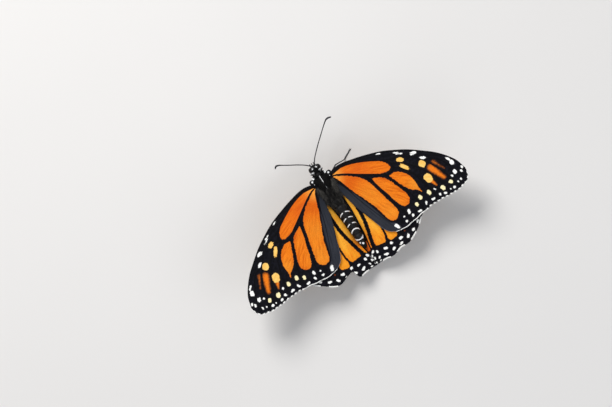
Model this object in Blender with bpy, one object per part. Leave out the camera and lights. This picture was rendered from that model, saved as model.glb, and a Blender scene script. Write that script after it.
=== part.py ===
"""Monarch butterfly, life size, standing on four legs with its wings spread.

Lengths are in millimetres in the body's own frame and become metres in world():
    out   sideways from the midline (along the wing on a wing)
    back  along the body, 0 at the middle of the head, positive towards the tail
    rise  above the body's axis
The body's axis is tipped head-up by PITCH and carried at STAND_HEIGHT above the floor.
In world space the butterfly faces -Y, its left side is +X and the floor is z = 0.
"""

import math

import bmesh
import bpy
from mathutils import Matrix, Vector

MM = 0.001
LEFT, RIGHT = 1, -1

# ---------------------------------------------------------------- driving dimensions, mm
PITCH = math.radians(5.0)        # head-up lean of the body
PIVOT_BACK = 7.0                 # middle of the thorax, where the lean turns
STAND_HEIGHT = 8.6               # body axis above the floor at the pivot
ORIGIN_BACK = 14.728             # the origin's place along the body, mid-length of the whole

DIHEDRAL = math.radians(14.0)    # how far each wing is raised
WING_THICKNESS = 0.5

FOREWING_RISE = 1.5              # forewing root above the body axis
FOREWING_CAMBER = 0.8            # arch between leading and trailing edge
FOREWING_TIP_DROOP = 0.8         # how far the tip bends back down
FOREWING_ROOT = (4.0, 6.7)       # out, back of the hinge each forewing turns about
FOREWING_SWEEP = {LEFT: math.radians(0.6), RIGHT: math.radians(-0.4)}   # turn towards the tail
FOREWING_REACH = {LEFT: 0.3, RIGHT: -0.2}                               # added span past the root
HINDWING_RISE = 0.25             # hindwing root above the body axis
HINDWING_CAMBER = 0.3
TROUGH_DEPTH = 3.6               # how far the inner margin dips beside the abdomen
TROUGH_WIDTH = 2.2               # distance over which the dip fades outwards
TROUGH_REAR = 0.4                # dip that is left behind the abdomen
SCALLOP_DEPTH = 0.22             # waves of the outer margins between vein ends

HEAD_BODY_SIDES = 20
LEG_SIDES = 8

# wing edges as (out, back): leading edge, outer margin, trailing edge
FOREWING_LEADING = [(3.8, 4.9), (8.5, 3.4), (15.0, 4.6), (21.0, 6.3), (26.0, 8.1), (30.6, 10.4),
                    (35.2, 13.1), (40.0, 16.7), (43.6, 19.7), (46.6, 23.1), (48.7, 26.4),
                    (49.8, 30.2)]
FOREWING_OUTER = [(49.8, 30.2), (49.3, 32.9), (47.6, 34.6), (44.6, 35.5), (40.6, 35.7),
                  (35.0, 35.2), (31.0, 35.2), (26.5, 35.8), (21.5, 36.6), (17.5, 36.9),
                  (13.8, 36.3)]
FOREWING_TRAILING = [(13.8, 36.3), (11.4, 34.8), (9.9, 32.5), (7.6, 26.2), (5.7, 21.0),
                     (4.5, 16.4), (3.9, 12.0), (3.8, 8.6)]
HINDWING_LEADING = [(3.7, 8.9), (8.0, 9.4), (13.0, 12.0), (20.0, 16.4), (27.0, 20.9), (31.6, 24.6)]
HINDWING_OUTER = [(31.6, 24.6), (33.2, 28.0), (32.0, 31.0), (28.0, 34.2), (24.2, 36.8),
                  (21.6, 39.1), (18.2, 41.0), (15.2, 42.2), (12.0, 42.0), (8.0, 43.2),
                  (4.4, 42.7), (0.34, 43.0)]
HINDWING_OUTER_WORN = [(31.6, 24.6), (33.2, 28.0), (32.0, 31.0), (28.0, 34.2), (24.2, 36.8),
                       (21.0, 39.2), (17.8, 41.3), (15.2, 41.8), (12.0, 40.7), (9.3, 40.1),
                       (8.5, 41.6), (7.4, 43.3), (4.4, 42.9), (0.34, 43.0)]
HINDWING_TRAILING = [(0.34, 43.0), (0.34, 39.5), (0.4, 36.5), (1.0, 34.2), (1.5, 31.0), (1.7, 26.0),
                     (1.8, 20.0), (2.45, 15.0), (3.1, 11.4)]
FOREWING_SCALLOPS = 8            # waves along the margin
HINDWING_SCALLOPS = 0            # its lobes are in the outline itself

# body profiles as (back, half width, half height, rise of the section's middle)
HEAD_PROFILE = [(-1.95, 0.45, 0.5, -0.2), (-1.7, 0.95, 1.05, -0.2), (-1.1, 1.28, 1.5, -0.15),
                (-0.2, 1.34, 1.65, -0.1), (0.7, 1.3, 1.55, -0.05), (1.3, 1.1, 1.25, 0.0)]
NECK_PROFILE = [(1.6, 1.5, 1.3, 0.0), (2.2, 2.1, 1.8, 0.05), (2.9, 2.5, 2.1, 0.1)]
THORAX_PROFILE = [(3.2, 2.7, 2.2, 0.1), (3.9, 3.2, 2.9, 0.15), (5.3, 3.4, 3.5, 0.2),
                  (7.2, 3.4, 3.6, 0.15), (8.9, 3.1, 3.3, 0.05), (10.2, 2.6, 2.8, -0.05),
                  (11.2, 1.9, 2.2, -0.1)]
ABDOMEN_START, ABDOMEN_END = 11.5, 34.2
ABDOMEN_SEGMENTS = 9
ABDOMEN_FULL = 2.55              # greatest half width
ABDOMEN_GROOVE = 0.12            # depth of the rings between segments
ABDOMEN_DROOP = 0.9              # how far the tip hangs below the axis

EYE_CENTRE = (1.52, -0.35, -0.1)
EYE_RADII = (1.0, 1.25, 1.35)
EYE_BASE = 1.63                  # flat inner face of the eye
TEGULA_CENTRE = (3.95, 3.35, 2.12)
TEGULA_RADII = (1.05, 1.05, 0.5)

# feelers: (out, back, rise) from the root to the tip of the club
ANTENNA_RIGHT = [(0.75, -2.0, 1.55), (2.3, -3.9, 2.1), (5.5, -7.0, 2.9), (8.8, -9.9, 3.6),
                 (12.6, -13.1, 4.2), (14.1, -13.8, 4.2), (15.7, -13.5, 4.0)]
ANTENNA_LEFT = [(0.75, -2.0, 1.55), (2.4, -3.4, 3.2), (5.0, -5.1, 6.0), (7.8, -6.7, 8.6),
                (10.6, -8.4, 10.7), (11.9, -8.7, 11.2), (12.7, -8.0, 11.1)]
ANTENNA_RADIUS = 0.26
CLUB_RADIUS = 0.45

PALP_PATH = [(0.85, -1.95, -1.75), (0.88, -2.65, -1.3), (0.86, -2.95, -0.4), (0.8, -2.85, 0.45)]
PALP_RADII = [0.26, 0.32, 0.3, 0.25]
PROBOSCIS_CENTRE = (-1.75, -3.35)   # back, rise of the coil's middle
PROBOSCIS_COIL = (1.25, 0.6)        # radius of the coil's outer and inner ends
PROBOSCIS_TURNS = 1.35
PROBOSCIS_RADIUS = 0.26

# legs: trochanter and knee as (out, back, rise); ankle and toe as (out, back) on the floor
LEG_PLAN = {
    "mid_right": [(2.65, 5.6, -2.95), (7.4, 2.6, -2.2), (11.3, 2.0), (15.4, -0.2)],
    "mid_left": [(2.65, 5.9, -2.95), (7.6, 5.2, -2.0), (11.2, 5.4), (15.2, 7.6)],
    "hind_right": [(2.35, 9.2, -2.95), (6.4, 15.2, -1.6), (8.6, 21.6), (11.2, 27.2)],
    "hind_left": [(2.35, 9.2, -2.95), (6.6, 14.8, -1.7), (9.2, 20.8), (12.2, 26.2)],
}
FEMUR_RADII = (0.42, 0.52, 0.38)
TIBIA_RADII = (0.36, 0.34, 0.28)
TARSUS_RADII = (0.3, 0.29, 0.28, 0.27, 0.26)
ANKLE_HEIGHT = 0.85
FORELEG_PATH = [(1.2, 3.6, -2.85), (1.75, 2.0, -3.3), (1.8, 0.4, -3.0), (1.7, -0.2, -2.45)]
FORELEG_RADII = [0.3, 0.34, 0.28, 0.25]


# ---------------------------------------------------------------- frame and curves
def world(side, out, back, rise):
    """A point of the body's frame, given in mm, as a world position in metres."""
    along = back - PIVOT_BACK
    y = along * math.cos(PITCH) + rise * math.sin(PITCH) + PIVOT_BACK - ORIGIN_BACK
    z = rise * math.cos(PITCH) - along * math.sin(PITCH) + STAND_HEIGHT
    return Vector((side * out, y, z)) * MM


def smooth_path(points, count):
    """count points, evenly spaced by length, on a Catmull-Rom curve through points."""
    knots = [Vector(p) for p in points]
    knots = [2 * knots[0] - knots[1]] + knots + [2 * knots[-1] - knots[-2]]
    fine = []
    for i in range(1, len(knots) - 2):
        a, b, c, d = knots[i - 1:i + 3]
        for k in range(16):
            t = k / 16
            fine.append(0.5 * (2 * b + (c - a) * t + (2 * a - 5 * b + 4 * c - d) * t ** 2
                               + (3 * b - a - 3 * c + d) * t ** 3))
    fine.append(knots[-2])
    lengths = [0.0]
    for p, q in zip(fine, fine[1:]):
        lengths.append(lengths[-1] + (q - p).length)
    result = []
    j = 0
    for i in range(count):
        target = lengths[-1] * i / (count - 1)
        while j < len(fine) - 2 and lengths[j + 1] < target:
            j += 1
        t = (target - lengths[j]) / (lengths[j + 1] - lengths[j])
        result.append(fine[j].lerp(fine[j + 1], min(max(t, 0.0), 1.0)))
    return result


def blend_values(values, count):
    """A short list of sizes stretched evenly to count values."""
    result = []
    for i in range(count):
        place = i / (count - 1) * (len(values) - 1)
        low = min(int(place), len(values) - 2)
        result.append(values[low] + (values[low + 1] - values[low]) * (place - low))
    return result


# ---------------------------------------------------------------- objects and materials
def make_material(name, colour, roughness):
    material = bpy.data.materials.new(name)
    material.use_nodes = True
    shader = material.node_tree.nodes["Principled BSDF"]
    shader.inputs["Base Color"].default_value = (*colour, 1.0)
    shader.inputs["Roughness"].default_value = roughness
    material.diffuse_color = (*colour, 1.0)
    return material


def add_object(name, bm, colour, roughness, sharp_angle=50.0):
    """Turns a bmesh into a named, smooth-shaded object with its own material."""
    bm.normal_update()
    bmesh.ops.recalc_face_normals(bm, faces=bm.faces)
    mesh = bpy.data.meshes.new(name)
    bm.to_mesh(mesh)
    bm.free()
    mesh.shade_smooth()
    mesh.set_sharp_from_angle(angle=math.radians(sharp_angle))
    mesh.materials.append(make_material(name, colour, roughness))
    piece = bpy.data.objects.new(name, mesh)
    bpy.context.scene.collection.objects.link(piece)
    return piece


def loft(bm, rings):
    """Skins a list of equal rings of points and closes both ends with a fan."""
    loops = [[bm.verts.new(p) for p in ring] for ring in rings]
    sides = len(loops[0])
    for near, far in zip(loops, loops[1:]):
        for k in range(sides):
            bm.faces.new((near[k], near[(k + 1) % sides], far[(k + 1) % sides], far[k]))
    for loop in (loops[0], loops[-1]):
        centre = bm.verts.new(sum((v.co for v in loop), Vector()) / sides)
        for k in range(sides):
            bm.faces.new((loop[k], loop[(k + 1) % sides], centre))


def tube_rings(path, radii, sides, up=Vector((0.0, 0.0, 1.0))):
    """Rings square to a path of world points; the first and last facets face -up and up."""
    rings = []
    for i, centre in enumerate(path):
        ahead = (path[min(i + 1, len(path) - 1)] - path[max(i - 1, 0)]).normalized()
        across = ahead.cross(up).normalized()
        lift = across.cross(ahead).normalized()
        ring = []
        for k in range(sides):
            angle = 2 * math.pi * (k + 0.5) / sides
            ring.append(centre + radii[i] * MM * (math.sin(angle) * across
                                                  - math.cos(angle) * lift))
        rings.append(ring)
    return rings


def tube(name, path, radii, colour, roughness, sides=LEG_SIDES, up=Vector((0.0, 0.0, 1.0))):
    bm = bmesh.new()
    loft(bm, tube_rings(path, blend_values(radii, len(path)), sides, up))
    return add_object(name, bm, colour, roughness)


# ---------------------------------------------------------------- body
def section(back, half_width, half_height, rise, sides):
    ring = []
    for k in range(sides):
        angle = 2 * math.pi * k / sides
        ring.append(world(1, half_width * math.cos(angle), back,
                          rise + half_height * math.sin(angle)))
    return ring


def body_piece(name, profile, colour, roughness, sides=HEAD_BODY_SIDES):
    bm = bmesh.new()
    loft(bm, [section(*station, sides) for station in profile])
    return add_object(name, bm, colour, roughness)


def abdomen_radius(back):
    """Half width of the abdomen without its rings: full near the front, a blunt cone behind."""
    t = (back - ABDOMEN_START) / (ABDOMEN_END - ABDOMEN_START)
    if t <= 0.0 or t >= 1.0:
        return 0.0
    waist = min(1.0, 0.62 + 2.6 * t)
    taper = (1.0 - max(0.0, t - 0.25) / 0.75 * 0.34) * math.sqrt(1.0 - max(0.0, t - 0.84) ** 2 / 0.0256)
    return ABDOMEN_FULL * waist * taper


def abdomen_axis(back):
    """Rise of the abdomen's middle: level in front, drooping a little to the tip."""
    t = (back - ABDOMEN_START) / (ABDOMEN_END - ABDOMEN_START)
    return -0.1 - ABDOMEN_DROOP * min(max(t, 0.0), 1.0) ** 1.6


def build_abdomen():
    stations = []
    pitch = (ABDOMEN_END - ABDOMEN_START) / ABDOMEN_SEGMENTS
    for segment in range(ABDOMEN_SEGMENTS):
        for place, groove in ((0.04, 1.0), (0.3, 0.0), (0.75, 0.0)):
            back = ABDOMEN_START + pitch * (segment + place)
            radius = abdomen_radius(back) - groove * ABDOMEN_GROOVE
            stations.append((back, radius, radius, abdomen_axis(back)))
    back = ABDOMEN_END - 0.12
    stations.append((back, abdomen_radius(back), abdomen_radius(back), abdomen_axis(back)))
    body_piece("abdomen", stations, (0.035, 0.035, 0.04), 0.6, sides=16)


def dome(name, side, centre, radii, base, colour, roughness):
    """An ellipsoid cut off square to the side at out = base, keeping its outer part."""
    bm = bmesh.new()
    bmesh.ops.create_uvsphere(bm, u_segments=14, v_segments=9, radius=1.0)
    bmesh.ops.rotate(bm, verts=bm.verts, cent=(0, 0, 0), matrix=Matrix.Rotation(math.pi / 2, 3, "Y"))
    if base is not None:
        cut = (base - centre[0]) / radii[0]
        geometry = bm.verts[:] + bm.edges[:] + bm.faces[:]
        bmesh.ops.bisect_plane(bm, geom=geometry, plane_co=(cut, 0, 0), plane_no=(-1, 0, 0),
                               clear_outer=True)
        rim = [edge for edge in bm.edges if edge.is_boundary]
        bmesh.ops.holes_fill(bm, edges=rim, sides=0)
    for vert in bm.verts:
        out, back, rise = (centre[i] + radii[i] * vert.co[i] for i in range(3))
        vert.co = world(side, out, back, rise)
    return add_object(name, bm, colour, roughness)


def build_head():
    body_piece("head", HEAD_PROFILE, (0.03, 0.03, 0.03), 0.7)
    body_piece("neck", NECK_PROFILE, (0.04, 0.04, 0.045), 0.8)
    for side, word in ((LEFT, "left"), (RIGHT, "right")):
        dome(f"eye_{word}", side, EYE_CENTRE, EYE_RADII, EYE_BASE, (0.02, 0.018, 0.02), 0.25)
        palp = [world(side, *p) for p in smooth_path(PALP_PATH, 6)]
        tube(f"palp_{word}", palp, PALP_RADII, (0.05, 0.05, 0.05), 0.8, up=Vector((1.0, 0.0, 0.0)))
    for side, word, plan in ((LEFT, "left", ANTENNA_LEFT), (RIGHT, "right", ANTENNA_RIGHT)):
        path = [world(side, *p) for p in smooth_path(plan, 20)]
        radii = [ANTENNA_RADIUS] * 15 + [0.3, 0.38, CLUB_RADIUS, CLUB_RADIUS, 0.27]
        tube(f"antenna_{word}", path, radii, (0.02, 0.02, 0.025), 0.5, sides=6)


def build_proboscis():
    """A flat coil in the midplane under the head, its outer end leading up to the face."""
    path = []
    steps = 22
    for i in range(steps + 1):
        t = i / steps
        angle = math.pi * 0.42 + 2 * math.pi * PROBOSCIS_TURNS * t
        radius = PROBOSCIS_COIL[0] + (PROBOSCIS_COIL[1] - PROBOSCIS_COIL[0]) * t
        path.append(world(1, 0.0, PROBOSCIS_CENTRE[0] - radius * math.cos(angle),
                          PROBOSCIS_CENTRE[1] + radius * math.sin(angle)))
    tube("proboscis", path, [PROBOSCIS_RADIUS] * 2, (0.06, 0.03, 0.02), 0.4, sides=6,
         up=Vector((1.0, 0.0, 0.0)))


# ---------------------------------------------------------------- wings
def scallop(t, waves):
    """Wave of an outer margin at t from 0 to 1, fading out at both corners."""
    if not waves:
        return 0.0
    fade = min(1.0, 6.0 * t, 6.0 * (1.0 - t))
    return SCALLOP_DEPTH * fade * 0.5 * (1.0 - math.cos(2.0 * math.pi * waves * t))


def wing_plan(leading, outer, trailing, waves, spans, chords):
    """A Coons patch between the four edges: a grid of (out, back), root to outer margin."""
    lead = smooth_path(leading, spans + 1)
    trail = list(reversed(smooth_path(trailing, spans + 1)))
    margin = smooth_path(outer, chords + 1)
    centre = Vector(leading[0]).lerp(Vector(trailing[-1]), 0.5)
    margin = [p + (centre - p).normalized() * scallop(j / chords, waves)
              for j, p in enumerate(margin)]
    root = [lead[0].lerp(trail[0], j / chords) for j in range(chords + 1)]
    grid = []
    for i in range(spans + 1):
        u = i / spans
        row = []
        for j in range(chords + 1):
            v = j / chords
            across = lead[i].lerp(trail[i], v)
            along = root[j].lerp(margin[j], u)
            corners = lead[0].lerp(trail[0], v).lerp(lead[-1].lerp(trail[-1], v), u)
            row.append(across + along - corners)
        grid.append(row)
    return grid


def forewing_rise(out, u, v):
    span = out / 50.0
    arch = FOREWING_CAMBER * math.sin(math.pi * v) * math.sin(math.pi * min(u, 1.0)) ** 0.5
    return (FOREWING_RISE + math.sin(DIHEDRAL) * (out - 3.8) + arch
            - FOREWING_TIP_DROOP * span ** 3)


def swept(side, out, back):
    """Where a forewing point lies in plan once its wing is turned about its root."""
    across = out - FOREWING_ROOT[0]
    along = back - FOREWING_ROOT[1]
    turn = FOREWING_SWEEP[side]
    reach = FOREWING_REACH[side] * min(1.0, max(0.0, across / 10.0))
    return (FOREWING_ROOT[0] + across * math.cos(turn) - along * math.sin(turn) + reach,
            FOREWING_ROOT[1] + across * math.sin(turn) + along * math.cos(turn))


def hindwing_rise(out, back, u, v):
    plane = HINDWING_RISE + math.sin(DIHEDRAL) * (out - 3.0)
    arch = HINDWING_CAMBER * math.sin(math.pi * v) * math.sin(math.pi * u) ** 0.5
    beside = min(1.0, abdomen_radius(max(back, 17.0)) / ABDOMEN_FULL)
    behind = max(0.0, -abdomen_axis(back) - 0.1)
    entry = min(1.0, max(0.0, (back - 11.0) / 3.5))
    depth = TROUGH_DEPTH * beside * entry + TROUGH_REAR + behind
    return plane + arch - depth * math.exp(-(max(out, 0.0) - 1.4) / TROUGH_WIDTH)


def build_wing(name, side, edges, waves, rise, spans, chords, colour, turned=False):
    """A wing surface on a grid, given its thickness by a Solidify modifier."""
    leading, outer, trailing = edges
    grid = wing_plan(leading, outer, trailing, waves, spans, chords)
    bm = bmesh.new()
    rows = []
    for i, row in enumerate(grid):
        verts = []
        for j, point in enumerate(row):
            out, back = point
            height = rise(out, back, i / spans, j / chords)
            if turned:
                out, back = swept(side, out, back)
            verts.append(bm.verts.new(world(side, out * math.cos(DIHEDRAL), back, height)))
        rows.append(verts)
    for low, high in zip(rows, rows[1:]):
        for j in range(chords):
            face = (low[j], low[j + 1], high[j + 1], high[j])
            bm.faces.new(face if side == LEFT else face[::-1])
    mesh = bpy.data.meshes.new(name)
    bm.to_mesh(mesh)
    bm.free()
    mesh.materials.append(make_material(name, colour, 0.6))
    mesh.shade_smooth()
    piece = bpy.data.objects.new(name, mesh)
    bpy.context.scene.collection.objects.link(piece)
    wall = piece.modifiers.new("thickness", "SOLIDIFY")
    wall.thickness = WING_THICKNESS * MM
    wall.offset = 0.0
    wall.use_even_offset = True
    return piece


def build_wings():
    for side, word in ((LEFT, "left"), (RIGHT, "right")):
        build_wing(f"forewing_{word}", side,
                   (FOREWING_LEADING, FOREWING_OUTER, FOREWING_TRAILING), FOREWING_SCALLOPS,
                   lambda out, back, u, v: forewing_rise(out, u, v), 13, 24, (0.85, 0.26, 0.03),
                   turned=True)
        outer = HINDWING_OUTER_WORN if side == LEFT else HINDWING_OUTER
        build_wing(f"hindwing_{word}", side, (HINDWING_LEADING, outer, HINDWING_TRAILING),
                   HINDWING_SCALLOPS, hindwing_rise, 11, 24, (0.9, 0.36, 0.05))
        dome(f"tegula_{word}", side, TEGULA_CENTRE, TEGULA_RADII, None, (0.05, 0.05, 0.055), 0.7)


# ---------------------------------------------------------------- legs
def straight_piece(name, start, end, radii, trim, colour):
    """A tapering limb between two joints, held back from each by its trim in mm."""
    ahead = (end - start).normalized()
    first = start + ahead * trim[0] * MM
    last = end - ahead * trim[1] * MM
    path = [first.lerp(last, i / 4) for i in range(5)]
    tube(name, path, radii, colour, 0.45)


def build_leg(word, plan):
    side = LEFT if word.endswith("left") else RIGHT
    hip = world(side, *plan[0])
    knee = world(side, *plan[1])
    ankle = Vector((side * plan[2][0], plan[2][1] - ORIGIN_BACK, ANKLE_HEIGHT)) * MM
    toe = Vector((side * plan[3][0], plan[3][1] - ORIGIN_BACK, 0.0)) * MM
    black = (0.025, 0.025, 0.03)
    straight_piece(f"{word}_femur", hip, knee, FEMUR_RADII, (0.0, 0.45), black)
    straight_piece(f"{word}_tibia", knee, ankle, TIBIA_RADII, (0.45, 0.25), black)
    heel = Vector((ankle.x, ankle.y, 0.0))
    radii = blend_values(TARSUS_RADII, 6)
    flat = math.cos(math.pi / LEG_SIDES)
    path = []
    for i in range(6):
        spot = heel.lerp(toe, i / 5)
        path.append(Vector((spot.x, spot.y, radii[i] * flat * MM)))
    tube(f"{word}_tarsus", path, radii, black, 0.45)


def build_legs():
    for word, plan in LEG_PLAN.items():
        build_leg(word, plan)
    for side, word in ((LEFT, "left"), (RIGHT, "right")):
        path = [world(side, *p) for p in smooth_path(FORELEG_PATH, 8)]
        tube(f"fore_{word}_leg", path, FORELEG_RADII, (0.03, 0.03, 0.035), 0.6,
             up=Vector((1.0, 0.0, 0.0)))


def main():
    for thing in list(bpy.data.objects):
        bpy.data.objects.remove(thing)
    build_head()
    build_proboscis()
    body_piece("thorax", THORAX_PROFILE, (0.04, 0.04, 0.045), 0.85)
    build_abdomen()
    build_wings()
    build_legs()


main()
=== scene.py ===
"""Looks of a life-size monarch butterfly: wings, furred body, eyes, feelers, tongue and legs.

Lengths are in millimetres in the body's own frame, as in the part's source:
    out   sideways from the midline (along the wing on a wing)
    back  along the body, 0 at the middle of the head, positive towards the tail
    rise  above the body's axis
stand() turns them into world metres. The butterfly faces -Y and its left side is +X.
"""
import math

import bpy
import numpy as np
from mathutils import Matrix, Vector


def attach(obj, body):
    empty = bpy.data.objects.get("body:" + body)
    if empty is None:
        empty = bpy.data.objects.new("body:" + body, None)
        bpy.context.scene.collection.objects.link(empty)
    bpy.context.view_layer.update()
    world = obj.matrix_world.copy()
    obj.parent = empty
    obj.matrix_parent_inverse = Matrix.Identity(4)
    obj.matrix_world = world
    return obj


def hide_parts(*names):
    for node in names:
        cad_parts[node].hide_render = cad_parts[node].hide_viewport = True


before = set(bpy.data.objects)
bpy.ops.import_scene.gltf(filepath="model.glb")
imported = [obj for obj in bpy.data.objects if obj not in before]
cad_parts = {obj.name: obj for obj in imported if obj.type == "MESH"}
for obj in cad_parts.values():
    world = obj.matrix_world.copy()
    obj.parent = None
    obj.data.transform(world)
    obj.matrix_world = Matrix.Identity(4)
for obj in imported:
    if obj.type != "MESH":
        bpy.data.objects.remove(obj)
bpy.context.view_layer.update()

MM = 0.001
LEFT, RIGHT = 1, -1
SIDES = ((LEFT, "left"), (RIGHT, "right"))

# stance of the body, as the frame has it
PITCH = math.radians(5.0)        # head-up lean of the body
PIVOT_BACK = 7.0                 # middle of the chest, where the lean turns
STAND_HEIGHT = 8.6               # body axis above the floor at the pivot
ORIGIN_BACK = 14.728             # the origin's place along the body, mid-length of the whole

# wings, as the frame has them
DIHEDRAL = math.radians(14.0)    # how far each wing is raised
FOREWING_RISE, FOREWING_CAMBER, FOREWING_TIP_DROOP = 1.5, 0.8, 0.8
FOREWING_ROOT = (4.0, 6.7)       # out, back of the hinge each forewing turns about
FOREWING_SPAN = 50
FOREWING_SWEEP = {LEFT: math.radians(0.6), RIGHT: math.radians(-0.4)}   # turn towards the tail
FOREWING_REACH = {LEFT: 0.3, RIGHT: -0.2}                               # added span past the root
HINDWING_RISE, HINDWING_CAMBER = 0.25, 0.3
FOREWING_HINGE, HINDWING_HINGE = 3.8, 3.0     # how far out each wing starts to climb
TROUGH_DEPTH = 3.6               # how far the hind wing's inner margin dips beside the abdomen
TROUGH_OUT = 1.4                 # how far out the dip is at its full depth
TROUGH_WIDTH = 2.2               # distance over which the dip fades outwards
TROUGH_REAR = 0.4                # dip that is left behind the abdomen
TROUGH_START, TROUGH_ENTRY = 11, 3.5     # where the dip starts in back, and over what length
SCALLOP_DEPTH, FOREWING_SCALLOPS = 0.22, 8    # waves of the outer margins between vein ends

# the abdomen, as the frame has it; shares are of its length or of its full width
ABDOMEN_START, ABDOMEN_END, ABDOMEN_SEGMENTS = 11.5, 34.2, 9
ABDOMEN_FULL, ABDOMEN_DROOP = 2.55, 0.9
ABDOMEN_RISE = -0.1              # height of its axis at the waist
WAIST_WIDTH, WAIST_SLOPE = 0.62, 2.6          # how wide it starts and how fast it widens
TAPER_START, TAPER = 0.25, 0.34               # where it starts to narrow and by how much in all
ROUND_START, ROUND_SQUARE = 0.84, 0.0256      # where its tip rounds off, and the rest squared

# where the looks leave the frame: how far the abdomen is bent towards +X, and how each forewing
# is eased on its pin, by a shift and by shares of out and back, for out and then for back
ABDOMEN_LEAN = -0.42
FOREWING_EASE = {LEFT: ((-0.088, -0.0066, 0.0024), (0.244, 0.0046, -0.0148)),
                 RIGHT: ((-0.024, -0.0186, 0.0046), (-0.119, -0.0107, 0.0053))}

# edges of the wings in plan, as (out, back)
FOREWING_LEADING = [(3.8, 4.9), (8.5, 3.4), (15.0, 4.6), (21.0, 6.3), (26.0, 8.1), (30.6, 10.4),
                    (35.2, 13.1), (40.0, 16.7), (43.6, 19.7), (46.6, 23.1), (48.7, 26.4),
                    (49.8, 30.2)]
FOREWING_OUTER = [(49.8, 30.2), (49.3, 32.9), (47.6, 34.6), (44.6, 35.5), (40.6, 35.7),
                  (35.0, 35.2), (31.0, 35.2), (26.5, 35.8), (21.5, 36.6), (17.5, 36.9),
                  (13.8, 36.3)]
FOREWING_TRAILING = [(13.8, 36.3), (11.4, 34.8), (9.9, 32.5), (7.6, 26.2), (5.7, 21.0),
                     (4.5, 16.4), (3.9, 12.0), (3.8, 8.6)]
HINDWING_LEADING = [(3.7, 8.9), (8.0, 9.4), (13.0, 12.0), (20.0, 16.4), (27.0, 20.9), (31.6, 24.6)]
HINDWING_CORNER = [(31.6, 24.6), (33.2, 28.0), (32.0, 31.0), (28.0, 34.2), (24.2, 36.8)]
HINDWING_OUTER = HINDWING_CORNER + [(21.6, 39.1), (18.2, 41.0), (15.2, 42.2), (12.0, 42.0),
                                    (8.0, 43.2), (4.4, 42.7), (0.34, 43.0)]
# the left hind wing is worn away between two veins
HINDWING_OUTER_WORN = HINDWING_CORNER + [(21.0, 39.2), (17.8, 41.3), (15.2, 41.8), (12.0, 40.7),
                                         (9.3, 40.1), (8.5, 41.6), (7.4, 43.3), (4.4, 42.9),
                                         (0.34, 43.0)]
HINDWING_TRAILING = [(0.34, 43.0), (0.34, 39.5), (0.4, 36.5), (1.0, 34.2), (1.5, 31.0), (1.7, 26.0),
                     (1.8, 20.0), (2.45, 15.0), (3.1, 11.4)]

# ---------------------------------------------------------------- wing markings, (out, back) in mm
# orange cells of the forewing, each from its root end out along one vein and back along the next
FOREWING_CELLS = {
    "discal": [(4.3, 5.55), (5.2, 5.0), (8.7, 4.75), (11.7, 5.3), (14.6, 6.3), (17.4, 7.4), (20.1, 8.8),
               (22.7, 10.3), (24.8, 12.4), (25.6, 14.7), (24.4, 15.6), (21.5, 15.1), (18.2, 13.5),
               (14.9, 11.6), (11.7, 9.45), (8.6, 7.35), (5.9, 5.9)],
    "rear": [(4.2, 6.0), (5.6, 6.5), (7.8, 7.75), (10.2, 9.3), (12.5, 11.2), (14.4, 13.4), (15.6, 16.0),
             (16.3, 18.7), (17.0, 21.6), (17.7, 24.4), (18.4, 27.2), (18.8, 30.1), (17.4, 32.1),
             (15.4, 32.3), (14.0, 31.1), (13.0, 27.6), (12.0, 24.1), (10.6, 20.7), (9.1, 17.3),
             (7.7, 14.0), (6.6, 11.0), (5.6, 8.2)],
    "middle": [(17.0, 14.7), (19.2, 15.6), (21.2, 17.0), (22.5, 19.1), (23.4, 21.4), (24.4, 23.8),
               (25.2, 26.2), (25.2, 28.6), (23.5, 30.2), (21.4, 29.6), (19.9, 26.3), (19.2, 23.6),
               (18.4, 20.8), (17.5, 18.1)],
    "front": [(23.2, 17.4), (25.4, 17.3), (27.5, 18.3), (29.1, 20.0), (30.2, 22.1), (30.6, 24.4),
              (30.5, 26.7), (30.7, 29.2), (29.7, 27.6), (27.7, 26.3), (26.5, 24.7), (25.5, 23.0),
              (24.7, 21.1)],
}
# spots as (out, back, length, width, turn in degrees from outwards towards back)
AMBER_SPOTS = [(30.3, 14.6, 2.6, 1.65, 30), (30.2, 17.7, 3.9, 1.5, 55), (36.6, 20.4, 2.7, 2.55, 60),
               (35.6, 26.1, 3.7, 2.95, 74)]
# rusty streaks as (start, end, strength at the start and at the end, how fast it fades sideways)
RUST_STREAKS = [((40.6, 21.9), (43.0, 26.4), 0.1, -0.1, 0.5),
                ((38.6, 23.4), (40.9, 29.0), 0.72, 0.36, 0.62),
                ((36.0, 27.4), (36.9, 30.0), 0.75, 0.2, 1.0)]
# hazes of deeper orange as (out, back, radius, strength)
FOREWING_EMBERS = [(15.0, 8.2, 7.0, 0.75), (22.0, 11.8, 4.0, 0.3), (8.5, 10.0, 5.0, 0.9),
                   (24.0, 28.5, 3.0, 0.2), (19.0, 16.5, 3.0, 0.35)]
HINDWING_EMBERS = [(6.5, 36.5, 3.5, 0.25), (2.4, 32.5, 3.5, 0.7), (12.0, 36.0, 3.0, 0.2)]
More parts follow.
